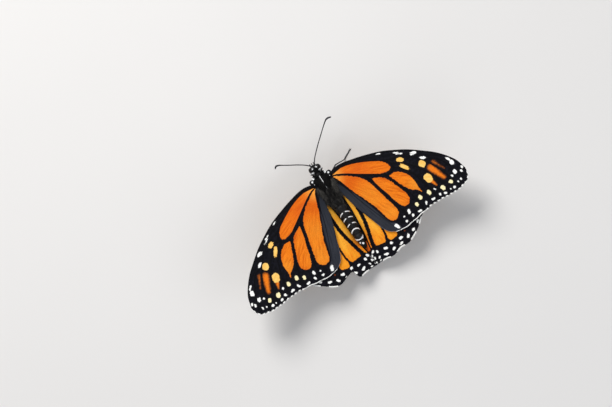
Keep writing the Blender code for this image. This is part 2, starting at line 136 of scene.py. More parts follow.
# hazes of paler orange; the hind wing's first two, beside the abdomen, are painted light on its shaded
# trough
FOREWING_GLOWS = [(13.0, 20.0, 5.0, 0.55), (16.0, 29.0, 5.0, 0.6), (29.8, 25.5, 3.0, 0.75),
                  (4.8, 5.6, 1.6, 0.7)]
HINDWING_GLOWS_AND_PAINTED_LIGHT = [(4.0, 24.0, 6.0, 0.9), (3.4, 17.0, 5.0, 0.9), (6.9, 29.0, 3.5, 0.5)]
CREAM_SPOTS = [(42.3, 31.9, 1.6, 1.4, 60), (38.4, 32.1, 1.9, 1.6, 80), (32.8, 30.7, 1.9, 1.4, 85),
               (28.9, 30.5, 1.7, 1.5, 85), (26.3, 32.0, 1.6, 1.2, 85)]
WHITE_SPOTS = [(45.6, 29.5, 1.7, 1.4, 75), (46.1, 24.1, 2.1, 0.8, 50), (46.6, 26.1, 2.0, 1.6, 75),
               (43.8, 30.2, 0.9, 0.8, 40), (35.4, 30.9, 1.2, 0.7, 60),
               (22.2, 32.6, 1.65, 1.05, 100), (19.6, 33.3, 0.7, 0.6, 0),
               (15.2, 34.8, 2.2, 1.3, 65), (48.9, 29.5, 1.1, 0.8, 80), (48.0, 30.6, 1.1, 0.75, 75),
               (46.2, 33.0, 1.0, 0.75, 95), (44.7, 33.3, 0.8, 0.7, 70), (42.3, 34.3, 1.1, 0.95, 30),
               (40.7, 34.1, 0.6, 0.55, 0), (38.1, 34.3, 1.15, 0.95, 30),
               (36.0, 33.6, 1.1, 0.85, 110), (32.8, 33.7, 1.5, 0.85, 10),
               (29.8, 33.5, 1.35, 0.7, 120), (26.0, 34.7, 1.6, 0.85, 10),
               (22.8, 34.6, 1.1, 0.85, 110), (19.5, 35.2, 1.2, 0.85, 5),
               (24.5, 8.3, 1.5, 0.6, 25), (30.4, 11.6, 2.5, 0.5, 30), (31.0, 12.4, 2.5, 0.5, 30),
               (35.9, 15.2, 2.5, 1.2, 12), (38.2, 18.7, 2.3, 1.0, 32)]
# veins of the forewing
FOREWING_VEINS = {
    "costa": [(4.2, 5.0), (9.0, 3.9), (15.0, 5.0), (21.0, 6.8), (26.0, 8.6), (30.6, 10.9),
              (35.2, 13.6), (40.0, 17.2), (43.4, 20.4)],
    "subcosta": [(4.6, 5.2), (9.0, 4.3), (15.0, 5.6), (21.0, 7.7), (25.5, 9.2), (27.6, 9.0)],
    "radius": [(4.1, 5.45), (5.4, 5.1), (9.1, 4.7), (13.7, 5.8), (18.2, 7.7), (22.2, 9.9), (25.9, 11.9),
               (31.2, 13.5), (35.0, 16.5), (37.5, 19.4), (39.7, 22.5), (42.1, 27.6), (43.3, 31.3),
               (44.0, 35.2)],
    "radius_1": [(20.5, 8.9), (26.0, 10.0), (30.7, 12.0), (33.4, 11.9)],
    "radius_2": [(29.0, 12.8), (33.6, 14.0), (37.0, 16.3), (39.4, 16.6)],
    "radius_3": [(35.8, 16.6), (39.7, 18.2), (43.0, 20.9), (44.6, 20.9)],
    "radius_5": [(38.0, 20.0), (40.2, 20.0), (42.4, 21.6), (44.6, 25.0), (46.0, 28.0), (47.2, 31.4),
                 (47.4, 34.6)],
    "media_1": [(26.2, 13.8), (30.6, 16.2), (33.8, 19.8), (36.2, 23.3), (38.3, 27.6), (39.6, 31.4),
                (40.6, 35.6)],
    "media_2": [(26.2, 15.4), (29.2, 18.0), (31.4, 21.1), (32.6, 24.8), (33.6, 28.4), (34.2, 31.5),
                (34.8, 35.2)],
    "end_bar": [(25.6, 11.8), (26.5, 14.0), (26.1, 16.2), (22.9, 16.7)],
    "cubitus": [(4.1, 5.75), (5.4, 5.95), (9.3, 7.9), (13.1, 10.4), (16.6, 12.6), (20.1, 14.8),
                (22.9, 16.9), (23.3, 19.2), (24.05, 21.3), (25.0, 23.5), (25.9, 25.7), (26.8, 28.4),
                (27.4, 31.4), (27.9, 35.7)],
    "cubitus_2": [(15.0, 12.0), (16.4, 14.8), (17.4, 18.5), (18.2, 22.5), (19.2, 26.6), (20.2, 30.6),
                  (21.2, 36.6)],
    "anal": [(4.6, 6.6), (6.0, 11.0), (7.9, 17.8), (10.0, 23.8), (12.2, 29.4), (13.7, 33.4),
             (15.6, 36.8)],
}
# veins of the hind wing
HINDWING_VEINS = {
    "shoulder": [(4.0, 9.6), (8.5, 10.4), (13.5, 13.2), (20.0, 17.4), (26.6, 21.8), (31.2, 25.2)],
    "radius": [(4.0, 10.0), (8.0, 13.2), (13.0, 16.9), (18.0, 20.4), (21.4, 22.9), (27.0, 25.8),
               (33.0, 28.2)],
    "media_1": [(21.4, 22.9), (26.0, 27.0), (31.2, 31.6)],
    "end_bar": [(21.4, 22.9), (20.3, 25.6), (17.2, 28.8), (13.6, 30.6), (10.9, 30.0)],
    "media_2": [(19.6, 26.6), (22.8, 30.6), (26.2, 35.5)],
    "media_3": [(14.8, 30.2), (17.9, 34.8), (21.4, 39.2)],
    "cubitus": [(3.8, 10.4), (5.3, 15.4), (7.0, 21.0), (8.7, 26.3), (10.9, 30.0), (13.3, 35.4),
                (14.7, 39.0), (15.3, 42.1)],
    "cubitus_2": [(8.0, 24.2), (9.1, 28.4), (9.2, 31.6), (9.1, 34.1), (8.6, 37.0), (8.2, 43.0)],
    "anal_2": [(3.6, 10.8), (4.7, 15.5), (5.3, 19.0), (5.4, 22.3), (5.2, 25.3), (4.6, 28.6),
               (3.8, 31.8), (2.7, 35.9), (2.0, 39.0), (1.7, 42.9)],
}
# dark line of the hind wing along the body
HINDWING_INNER = [(3.7, 12.0), (3.4, 16.0), (3.2, 20.0), (2.9, 24.0), (2.65, 27.5), (2.3, 31.2),
                  (1.5, 35.8), (1.1, 38.5)]
# white spots along the hind wing's border
HINDWING_SPOTS = [(13.35, 39.1, 1.6, 1.0, -10), (9.2, 38.9, 1.3, 1.0, 10), (6.3, 39.4, 1.5, 0.9, 12),
                  (2.75, 38.85, 1.1, 0.85, 110), (1.25, 38.1, 1.3, 0.85, 140),
                  (0.2, 39.3, 1.1, 0.65, 84), (19.2, 38.9, 1.5, 0.9, -14),
                  (16.2, 40.0, 1.6, 0.9, 130), (12.5, 41.0, 1.5, 0.9, -3),
                  (8.8, 41.3, 1.4, 0.9, 160), (5.25, 41.5, 1.6, 0.9, 24), (2.3, 41.2, 1.2, 0.65, 130),
                  (0.7, 40.6, 1.1, 0.65, 100), (-0.4, 40.8, 1.1, 0.8, 55), (2.0, 42.5, 0.9, 0.5, 160),
                  (0.3, 42.3, 0.9, 0.5, 80), (19.9, 35.9, 1.3, 0.9, -30),
                  (22.8, 33.9, 1.3, 0.9, -30), (25.4, 31.6, 1.2, 0.9, -35), (27.6, 29.2, 1.2, 0.9, -45),
                  (22.3, 37.0, 1.3, 0.8, -45), (24.9, 34.9, 1.2, 0.8, -40), (27.2, 32.9, 1.2, 0.8, -40),
                  (29.4, 31.1, 1.1, 0.8, -45), (30.9, 28.9, 1.1, 0.8, -70), (30.3, 26.4, 1.1, 0.8, -90)]
HINDWING_RUST = [(16.1, 37.6, 0.8, 0.7, 0)]
HINDWING_BORDER = 5.7            # width of the black border
BORDER_NARROWS = 1.7             # how much narrower it gets towards the front
BORDER_CELL_NARROWS = 1.5        # and in one cell, whose orange reaches further
CORNER_SOFTNESS = 0.5            # how far the corners of the orange cells are rounded
VEIN_BLACK = 0.42                # half width of the black along the hind wing's veins
INNER_VEIN_BLACK, INNER_VEIN_SWELLS = 0.25, 0.5      # the same on its innermost vein
INNER_LINE_HALF = 0.12           # half width of the dark line along the body
INNER_LINE_IN = {LEFT: 0.75, RIGHT: 0.15}    # how far in from its path it lies
HINDWING_SHIFT = 0.5             # how far the hind wings' markings sit to the butterfly's right
ABSENT = -9.0                    # distance that stands for a marking that isn't there


# ---------------------------------------------------------------- frame, curves and distances
def stand(side, out, back, rise):
    """Points of the body's frame, in mm, as world positions in metres: an (n, 3) array."""
    out, back, rise = np.broadcast_arrays(np.asarray(out, float), back, rise)
    along = back - PIVOT_BACK
    y = along * math.cos(PITCH) + rise * math.sin(PITCH) + PIVOT_BACK - ORIGIN_BACK
    z = rise * math.cos(PITCH) - along * math.sin(PITCH) + STAND_HEIGHT
    return np.stack([side * out, y, z], -1) * MM


def lie(points):
    """World positions in metres as (x, back, rise) in mm: the reverse of stand()."""
    x, y, z = (np.asarray(points, float) / MM).T
    y = y - PIVOT_BACK + ORIGIN_BACK
    z = z - STAND_HEIGHT
    back = y * math.cos(PITCH) - z * math.sin(PITCH) + PIVOT_BACK
    return x, back, y * math.sin(PITCH) + z * math.cos(PITCH)


CURVE_STEPS = 16                 # steps between two points of a smooth path


def smooth_path(points, count):
    """count points, evenly spaced by length, on a Catmull-Rom curve through points."""
    p = np.asarray(points, float)
    p = np.vstack([2 * p[0] - p[1], p, 2 * p[-1] - p[-2]])
    t = (np.arange(CURVE_STEPS) / CURVE_STEPS)[:, None]
    fine = [0.5 * (2 * b + (c - a) * t + (2 * a - 5 * b + 4 * c - d) * t ** 2
                   + (3 * b - a - 3 * c + d) * t ** 3)
            for a, b, c, d in zip(p, p[1:], p[2:], p[3:])]
    fine = np.vstack(fine + [p[-2:-1]])
    length = np.r_[0, np.cumsum(np.linalg.norm(np.diff(fine, axis=0), axis=1))]
    place = np.linspace(0, length[-1], count)
    return np.stack([np.interp(place, length, fine[:, k]) for k in range(p.shape[1])], 1)


def eased(x, low, high):
    """0 below low, 1 above high, smooth between."""
    t = np.clip((np.asarray(x, float) - low) / (high - low), 0, 1)
    return t * t * (3 - 2 * t)


def to_segment(p, a, b):
    """Distance of each point from the segment a-b."""
    line = b - a
    t = np.clip((p - a) @ line / max(line @ line, 1e-12), 0, 1)
    return np.linalg.norm(p - a - t[:, None] * line, axis=1)


def in_streak(p, start, end, strong, weak, fade):
    """Strength of a streak that weakens on its way and sideways, negative outside."""
    a, b = np.array(start), np.array(end)
    t = np.clip((p - a) @ (b - a) / ((b - a) @ (b - a)), 0, 1)
    return strong + (weak - strong) * t - fade * to_segment(p, a, b)


def to_line(p, points, count=24):
    """Distance of each point from a smooth line through some points."""
    path = smooth_path(points, count)
    return np.min([to_segment(p, a, b) for a, b in zip(path, path[1:])], axis=0)


def within(p, outline, count=72):
    """Distance inside a closed smooth outline, negative outside."""
    ring = smooth_path(list(outline) + [outline[0]], count)
    away = np.full(len(p), np.inf)
    inside = np.zeros(len(p), bool)
    for a, b in zip(ring, ring[1:]):
        away = np.minimum(away, to_segment(p, a, b))
        if a[1] != b[1]:
            crossing = (a[1] > p[:, 1]) != (b[1] > p[:, 1])
            inside ^= crossing & (p[:, 0] < (b[0] - a[0]) * (p[:, 1] - a[1]) / (b[1] - a[1]) + a[0])
    return np.where(inside, away, -away)


SPOT_POWER = 2.6                 # 2 is an ellipse, more is squarer


def in_spots(p, spots):
    """Distance inside the nearest of some rounded spots, negative outside."""
    best = np.full(len(p), -np.inf)
    for out, back, long, wide, turn in spots:
        turn = math.radians(turn)
        d = p - (out, back)
        x = (d[:, 0] * math.cos(turn) + d[:, 1] * math.sin(turn)) / (long / 2)
        y = (d[:, 1] * math.cos(turn) - d[:, 0] * math.sin(turn)) / (wide / 2)
        reach = (np.abs(x) ** SPOT_POWER + np.abs(y) ** SPOT_POWER) ** (1 / SPOT_POWER)
        best = np.maximum(best, (1 - reach) * wide / 2)
    return best


def in_haze(p, hazes):
    """Strength of some soft round hazes, 0 to 1."""
    best = np.zeros(len(p))
    for out, back, radius, strength in hazes:
        away = np.hypot(p[:, 0] - out, p[:, 1] - back)
        best = np.maximum(best, strength * np.exp(-(away / radius) ** 2))
    return best


# ---------------------------------------------------------------- modelling bench
def only(thing):
    """Leaves one object selected and active, in object mode."""
    bpy.ops.object.select_all(action="DESELECT")
    thing.select_set(True)
    bpy.context.view_layer.objects.active = thing
    return thing


def started(name):
    """The primitive just added, renamed, as the only thing selected."""
    thing = bpy.context.object
    thing.name = name
    thing.data.name = name
    return only(thing)


def settle(thing):
    """Puts the object's place into its mesh."""
    only(thing)
    bpy.ops.object.transform_apply(location=True, rotation=True, scale=True)
    return thing


def apply_modifier(thing, kind, **settings):
    """Adds a modifier with its settings and applies it."""
    only(thing)
    modifier = thing.modifiers.new(kind.lower(), kind)
    for key, value in settings.items():
        setattr(modifier, key, value)
    bpy.ops.object.modifier_apply(modifier=modifier.name)


def face_outwards(merge=0.0):
    """Turns all faces of the active mesh outwards, after merging its doubles where asked."""
    bpy.ops.object.mode_set(mode="EDIT")
    bpy.ops.mesh.select_all(action="SELECT")
    if merge:
        bpy.ops.mesh.remove_doubles(threshold=merge)
    bpy.ops.mesh.normals_make_consistent(inside=False)
    bpy.ops.object.mode_set(mode="OBJECT")
    bpy.ops.object.shade_smooth()


def joined(things, name):
    """Several objects as one."""
    bpy.ops.object.select_all(action="DESELECT")
    for thing in things:
        thing.select_set(True)
    bpy.context.view_layer.objects.active = things[0]
    bpy.ops.object.join()
    return started(name)


def read(items, key, width=1, kind=np.int32):
    """One number, or a row of them, from each item of a mesh."""
    found = np.empty(len(items) * width, kind)
    items.foreach_get(key, found)
    return found if width == 1 else found.reshape(-1, width)


def places(mesh):
    """Where the vertices are, in metres: an (n, 3) array."""
    return read(mesh.vertices, "co", 3, np.float32).astype(float)


def move_to(mesh, co):
    """Puts every vertex in a new place."""
    mesh.vertices.foreach_set("co", np.ascontiguousarray(co, np.float32).ravel())
    mesh.update()


def note(mesh, name, values):
    """Writes one number, or one vector, for each vertex."""
    values = np.asarray(values, np.float32)
    kind, key = ("FLOAT", "value") if values.ndim == 1 else ("FLOAT_VECTOR", "vector")
    layer = mesh.attributes.get(name) or mesh.attributes.new(name, kind, "POINT")
    layer.data.foreach_set(key, values.ravel())


def lay_out(mesh, uv):
    """Gives the mesh its bake map from one (u, v) for each corner."""
    layer = mesh.uv_layers.get("OFBake") or mesh.uv_layers.new(name="OFBake")
    layer.uv.foreach_set("vector", np.asarray(uv, np.float32).ravel())


ROD_DOUBLES = 1e-7               # vertices of a rod's end caps closer than this are one, in metres


def rod(name, strands, sides=8):
    """Round rods of changing thickness, one for each (path in metres, radii in mm)."""
    bpy.ops.curve.primitive_nurbs_path_add()
    thing = started(name)
    curve = thing.data
    curve.splines.clear()
    for path, radii in strands:
        strand = curve.splines.new("POLY")
        strand.points.add(len(path) - 1)
        strand.points.foreach_set("co", np.c_[path, np.ones(len(path))].ravel())
        strand.points.foreach_set("radius", np.interp(np.linspace(0, 1, len(path)),
                                                      np.linspace(0, 1, len(radii)), radii))
    curve.dimensions = "3D"
    curve.twist_mode = "MINIMUM"
    curve.bevel_depth = MM
    curve.bevel_resolution = max(0, sides // 2 - 2)
    curve.use_fill_caps = True
    bpy.ops.object.convert(target="MESH")
    settle(thing)
    face_outwards(merge=ROD_DOUBLES)
    return thing


def hand_in(piece, slot, *nodes):
    """The piece rides on the body and stands for its nodes; its slot is not used."""
    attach(piece, "root")
    if nodes:
        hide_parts(*nodes)
    return piece


# ---------------------------------------------------------------- materials
class Finish:
    """A material built up node by node; values are numbers, colours or other nodes' sockets."""

    def __init__(self, name):
        self.material = bpy.data.materials.new(name)
        self.material.use_nodes = True
        self.tree = self.material.node_tree
        self.shader = self.tree.nodes["Principled BSDF"]

    def node(self, kind, values, output=0, **settings):
        """Adds a node, feeds its sockets and gives back one of its outputs."""
        made = self.tree.nodes.new(kind)
        for key, value in settings.items():
            setattr(made, key, value)
        for socket, value in values.items():
            self.feed(made.inputs[socket], value)
        return made.outputs[output]

    def feed(self, socket, value):
        """Links a socket, or sets it where the value is a plain one."""
        if isinstance(value, bpy.types.NodeSocket):
            self.tree.links.new(value, socket)
        elif isinstance(value, tuple) and len(value) == 3 and socket.type == "RGBA":
            socket.default_value = (*value, 1.0)
        else:
            socket.default_value = value

    def attribute(self, name, output="Fac"):
        return self.node("ShaderNodeAttribute", {}, output, attribute_name=name)

    def place(self, *scale):
        """Where on the object a spot is: in millimetres, unless another scale is given."""
        at = self.node("ShaderNodeTexCoord", {}, "Object")
        return self.node("ShaderNodeMapping", {"Vector": at, "Scale": scale or (1 / MM,) * 3})

    def sum(self, a, b):
        return self.node("ShaderNodeMath", {0: a, 1: b}, operation="ADD")

    def times(self, a, b):
        return self.node("ShaderNodeMath", {0: a, 1: b}, operation="MULTIPLY")

    def greater(self, a, b):
        return self.node("ShaderNodeMath", {0: a, 1: b}, operation="MAXIMUM")

    def noise(self, vector, scale, detail=2.0, roughness=0.5):
        """Soft blotches, 0 to 1."""
        return self.node("ShaderNodeTexNoise", {"Vector": vector, "Scale": scale, "Detail": detail,
                                                "Roughness": roughness}, "Fac")

    def cells(self, vector, scale, output="Distance", **settings):
        """Rounded cells that lie side by side, as scales and facets do."""
        return self.node("ShaderNodeTexVoronoi", {"Vector": vector, "Scale": scale}, output,
                         **settings)

    def ramp(self, value, low, high, start=0.0, end=1.0):
        """From start to end, smoothly, as the value goes from low to high."""
        return self.node("ShaderNodeMapRange", {"Value": value, "From Min": low, "From Max": high,
                                                "To Min": start, "To Max": end},
                         interpolation_type="SMOOTHSTEP")

    def mix(self, share, under, over):
        """One colour over another by its share."""
        return self.node("ShaderNodeMix", {0: share, 6: under, 7: over}, 2, data_type="RGBA")

    def bump(self, height, depth):
        return self.node("ShaderNodeBump", {"Height": height, "Strength": 1.0, "Distance": depth})

    def set(self, **values):
        """Feeds the shader by the names of its sockets and gives back the material."""
        for key, value in values.items():
            self.feed(self.shader.inputs[key.replace("_", " ")], value)
        return self.material


# ---------------------------------------------------------------- wings
WING_SHEET = 0.09                # thickness of the wing between its veins
WING_SINK = 0.10                 # how far the sheet sinks between two veins
VEIN_SLOPE = 0.9                 # how far from a vein it has sunk
BASE_OVERLAP = 1.5               # how far each wing base runs into the chest
VEIN_RADIUS, MAIN_VEIN_RADIUS, VEIN_END_RADIUS = 0.12, 0.17, 0.035
MAIN_VEINS = ("costa", "radius", "cubitus")
TAIL_MEET = 0.75                 # how far each hind wing reaches over the midline behind the tail
TAIL_STEP = 0.12                 # how far the right one lifts and the left one sinks there
EDGE_STEPS = 600                 # steps along each edge of a wing
# slate band along the forewing's rear edge, as (out, back): grey scales, partly a painted sheen for the
# light they catch
REAR_BAND = [(4.0, 8.0), (6.0, 11.5), (9.0, 18.0), (11.6, 25.0), (13.2, 30.5), (14.1, 32.4),
             (15.6, 33.4), (16.6, 36.6), (13.8, 36.8), (9.9, 33.5), (5.3, 21.0), (3.6, 13.0)]


def wing_plan(leading, outer, trailing, waves, u, v):
    """(out, back) at wing places u (root to margin) and v (leading to trailing edge)."""
    fine = np.linspace(0, 1, EDGE_STEPS + 1)
    lead = smooth_path(leading, EDGE_STEPS + 1)
    trail = smooth_path(trailing, EDGE_STEPS + 1)[::-1]
    margin = smooth_path(outer, EDGE_STEPS + 1)
    centre = (np.array(leading[0]) + trailing[-1]) / 2
    fade = np.minimum(1, np.minimum(6 * fine, 6 * (1 - fine)))
    wave = SCALLOP_DEPTH * fade * 0.5 * (1 - np.cos(2 * math.pi * waves * fine))
    inward = centre - margin
    margin = margin + inward / np.linalg.norm(inward, axis=1)[:, None] * wave[:, None]

    def at(path, t):
        return np.stack([np.interp(t, fine, path[:, k]) for k in (0, 1)], -1)

    u2, v2 = u[:, None], v[:, None]
    across = at(lead, u) * (1 - v2) + at(trail, u) * v2
    root = lead[0] * (1 - v2) + trail[0] * v2
    tip = lead[-1] * (1 - v2) + trail[-1] * v2
    along = root * (1 - u2) + at(margin, v) * u2
    return across + along - root * (1 - u2) - tip * u2


def forewing_rise(out, back, u, v):
    """Height of the forewing: spread upwards, arched, and drooping at its tip."""
    arch = FOREWING_CAMBER * np.sin(np.pi * v) * np.sin(np.pi * u).clip(0) ** 0.5
    return (FOREWING_RISE + math.sin(DIHEDRAL) * (out - FOREWING_HINGE) + arch
            - FOREWING_TIP_DROOP * (out / FOREWING_SPAN) ** 3)


def abdomen_share(back):
    """How far along the abdomen a place is: 0 at the waist, 1 at the tip."""
    return (np.asarray(back, float) - ABDOMEN_START) / (ABDOMEN_END - ABDOMEN_START)


def abdomen_radius(back):
    """Half width of the abdomen: a waist, then its full width, then a rounded taper."""
    t = abdomen_share(back)
    waist = np.minimum(1, WAIST_WIDTH + WAIST_SLOPE * t)
    rounding = np.clip(t - ROUND_START, 0, None) ** 2 / ROUND_SQUARE
    narrowing = np.clip(t - TAPER_START, 0, None) / (1 - TAPER_START) * TAPER
    taper = (1 - narrowing) * np.sqrt(np.clip(1 - rounding, 0, None))
    return np.where((t <= 0) | (t >= 1), 0, ABDOMEN_FULL * waist * taper)


def abdomen_axis(back):
    """Height of the abdomen's middle, which droops to the rear."""
    return ABDOMEN_RISE - ABDOMEN_DROOP * np.clip(abdomen_share(back), 0, 1) ** 1.6


def hindwing_rise(out, back, u, v):
    """Height of the hind wing: spread upwards, with a trough beside the abdomen."""
    arch = HINDWING_CAMBER * np.sin(np.pi * v) * np.sin(np.pi * u).clip(0) ** 0.5
    beside = np.minimum(1, abdomen_radius(np.maximum(back, 17)) / ABDOMEN_FULL)
    behind = np.maximum(0, -abdomen_axis(back) + ABDOMEN_RISE)
    entry = np.clip((back - TROUGH_START) / TROUGH_ENTRY, 0, 1)
    depth = TROUGH_DEPTH * beside * entry + TROUGH_REAR + behind
    return (HINDWING_RISE + math.sin(DIHEDRAL) * (out - HINDWING_HINGE) + arch
            - depth * np.exp(-(np.maximum(out, 0) - TROUGH_OUT) / TROUGH_WIDTH))


def swept(side, plan):
    """A forewing's plan turned about its root by what its side is swept."""
    across = plan[:, 0] - FOREWING_ROOT[0]
    along = plan[:, 1] - FOREWING_ROOT[1]
    turn = FOREWING_SWEEP[side]
    reach = FOREWING_REACH[side] * np.clip(across / 10, 0, 1)
    spread = np.stack([FOREWING_ROOT[0] + across * math.cos(turn) - along * math.sin(turn) + reach,
                       FOREWING_ROOT[1] + across * math.sin(turn) + along * math.cos(turn)], 1)
    eases = [ease[0] + spread @ ease[1:] for ease in FOREWING_EASE[side]]
    return spread + np.stack(eases, 1)


def forewing_marks(p):
    """The forewing's markings at plan points, each by how far inside it a point is, in mm.

    The hazes are given by their strength, and "vein" is how far away the nearest vein is.
    """
    return {"orange": np.max([within(p, cell) for cell in FOREWING_CELLS.values()], axis=0),
            "amber": in_spots(p, AMBER_SPOTS),
            "rust": np.max([in_streak(p, *streak) for streak in RUST_STREAKS], axis=0),
            "cream": in_spots(p, CREAM_SPOTS),
            "white": in_spots(p, WHITE_SPOTS),
            "slate": within(p, REAR_BAND),
            "ember": in_haze(p, FOREWING_EMBERS),
            "glow": in_haze(p, FOREWING_GLOWS),
            "vein": np.min([to_line(p, line) for line in FOREWING_VEINS.values()], axis=0)}


def hindwing_marks(p, outer, side):
    """The hind wing's markings at plan points, as forewing_marks() gives them."""
    far = {name: to_line(p, line) for name, line in HINDWING_VEINS.items()}
    veins = np.min(list(far.values()), axis=0)
    swelling = INNER_VEIN_BLACK + INNER_VEIN_SWELLS * eased(p[:, 1], 14, 24)
    off_black = np.minimum(veins - VEIN_BLACK, far["anal_2"] - swelling)
    in_cell = eased(p[:, 0], 8.0, 10.2) - eased(p[:, 0], 12.0, 14.2)
    width = (HINDWING_BORDER - BORDER_NARROWS * eased(p[:, 0], 15, 20)
             - BORDER_CELL_NARROWS * in_cell)
    inside_border = to_line(p, outer, 90) - width
    field = -CORNER_SOFTNESS * np.log(np.exp(-inside_border / CORNER_SOFTNESS)
                                      + np.exp(-off_black / CORNER_SOFTNESS))
    inner = smooth_path(HINDWING_INNER, 60)
    beside = p[:, 0] - np.interp(p[:, 1], inner[:, 1], inner[:, 0]) + INNER_LINE_IN[side]
    sliver = np.minimum(-0.2 - beside, np.minimum(p[:, 1] - 33.4, 37.0 - p[:, 1]))
    return {"orange": np.minimum(field, beside - INNER_LINE_HALF),
            "amber": np.full(len(p), ABSENT),
            "rust": np.maximum(sliver, in_spots(p, HINDWING_RUST) - 0.25),
            "cream": np.full(len(p), ABSENT),
            "white": in_spots(p, HINDWING_SPOTS),
            "slate": np.minimum(0.3 - beside, 27 - p[:, 1]),
            "ember": in_haze(p, HINDWING_EMBERS),
            "glow": in_haze(p, HINDWING_GLOWS_AND_PAINTED_LIGHT),
            "vein": np.minimum(veins, np.abs(beside))}


# a wing's edges, the waves of its outer edge, its height, the steps of its grid outwards and
# across, its veins, and the root that its rays come from
WINGS = {"forewing": dict(edges=(FOREWING_LEADING, FOREWING_OUTER, FOREWING_TRAILING),
                          waves=FOREWING_SCALLOPS, rise=forewing_rise, spans=236, chords=160,
                          veins=FOREWING_VEINS, root=(3.4, 6.0)),
         "hindwing": dict(edges=(HINDWING_LEADING, HINDWING_OUTER, HINDWING_TRAILING),
                          waves=0, rise=hindwing_rise, spans=196, chords=176,
                          veins=HINDWING_VEINS, root=(3.2, 9.6))}


def abdomen_lean(back):
    """How far the abdomen bends towards +X: below zero, so that it lies to the right."""
    return ABDOMEN_LEAN * eased(back, 12.5, 20) * (1 - 0.35 * eased(back, 24, 32))


def outer_margin(kind, side):
    """The outline of a wing's outer edge."""
    worn = kind == "hindwing" and side == LEFT
    return HINDWING_OUTER_WORN if worn else WINGS[kind]["edges"][1]


def wing_points(kind, side, u, v):
    """Plan points of a wing and their places in the body's frame, for wing places u and v."""
    wing = WINGS[kind]
    plan = wing_plan(wing["edges"][0], outer_margin(kind, side), wing["edges"][2], wing["waves"],
                     u, v)
    rise = wing["rise"](plan[:, 0], plan[:, 1], u, v)
    plan[:, 0] -= BASE_OVERLAP * (1 - eased(u, 0, 0.14)) * (plan[:, 0] > 2.4)
    spread = swept(side, plan) if kind == "forewing" else plan
    if kind == "hindwing":
        meet = eased(plan[:, 1], 30, 35) * (1 - eased(plan[:, 0], 0.3, 3.0))
        plan[:, 0] -= TAIL_MEET * meet
        plan[:, 0] += side * abdomen_lean(plan[:, 1]) * (1 - eased(plan[:, 0], 1.7, 4.5))
        rise = rise - side * TAIL_STEP * meet
    return plan, np.stack([spread[:, 0] * math.cos(DIHEDRAL), spread[:, 1], rise], 1)


def marking_shift(kind, side, back):
    """How far out a wing's markings are read: the hind wings' sit to one side of the midline."""
    return HINDWING_SHIFT * side * eased(back, 12, 22) if kind == "hindwing" else 0.0 * back


def on_wing(kind, side, line, count):
    """A line given in plan, as points lying on the wing, in the body's frame."""
    u, v = [grid.ravel() for grid in np.meshgrid(np.linspace(0, 1, 110), np.linspace(0, 1, 90),
                                                 indexing="ij")]
    plan, body = wing_points(kind, side, u, v)
    line = smooth_path(line, count)
    line[:, 0] -= marking_shift(kind, side, line[:, 1])
    spread = swept(side, line) if kind == "forewing" else line
    near = [np.argsort(((plan - q) ** 2).sum(1))[:4] for q in line]
    rise = []
    for q, four in zip(line, near):
        weight = 1 / (((plan[four] - q) ** 2).sum(1) + 1e-4)
        rise.append((body[four, 2] * weight).sum() / weight.sum())
    return np.stack([spread[:, 0] * math.cos(DIHEDRAL), spread[:, 1], rise], 1)


SCALES_PER_MM = 11.0
RAY_STRETCH, RAY_SPREAD = 0.16, 26   # scales of the streaks along and across the rays of a wing


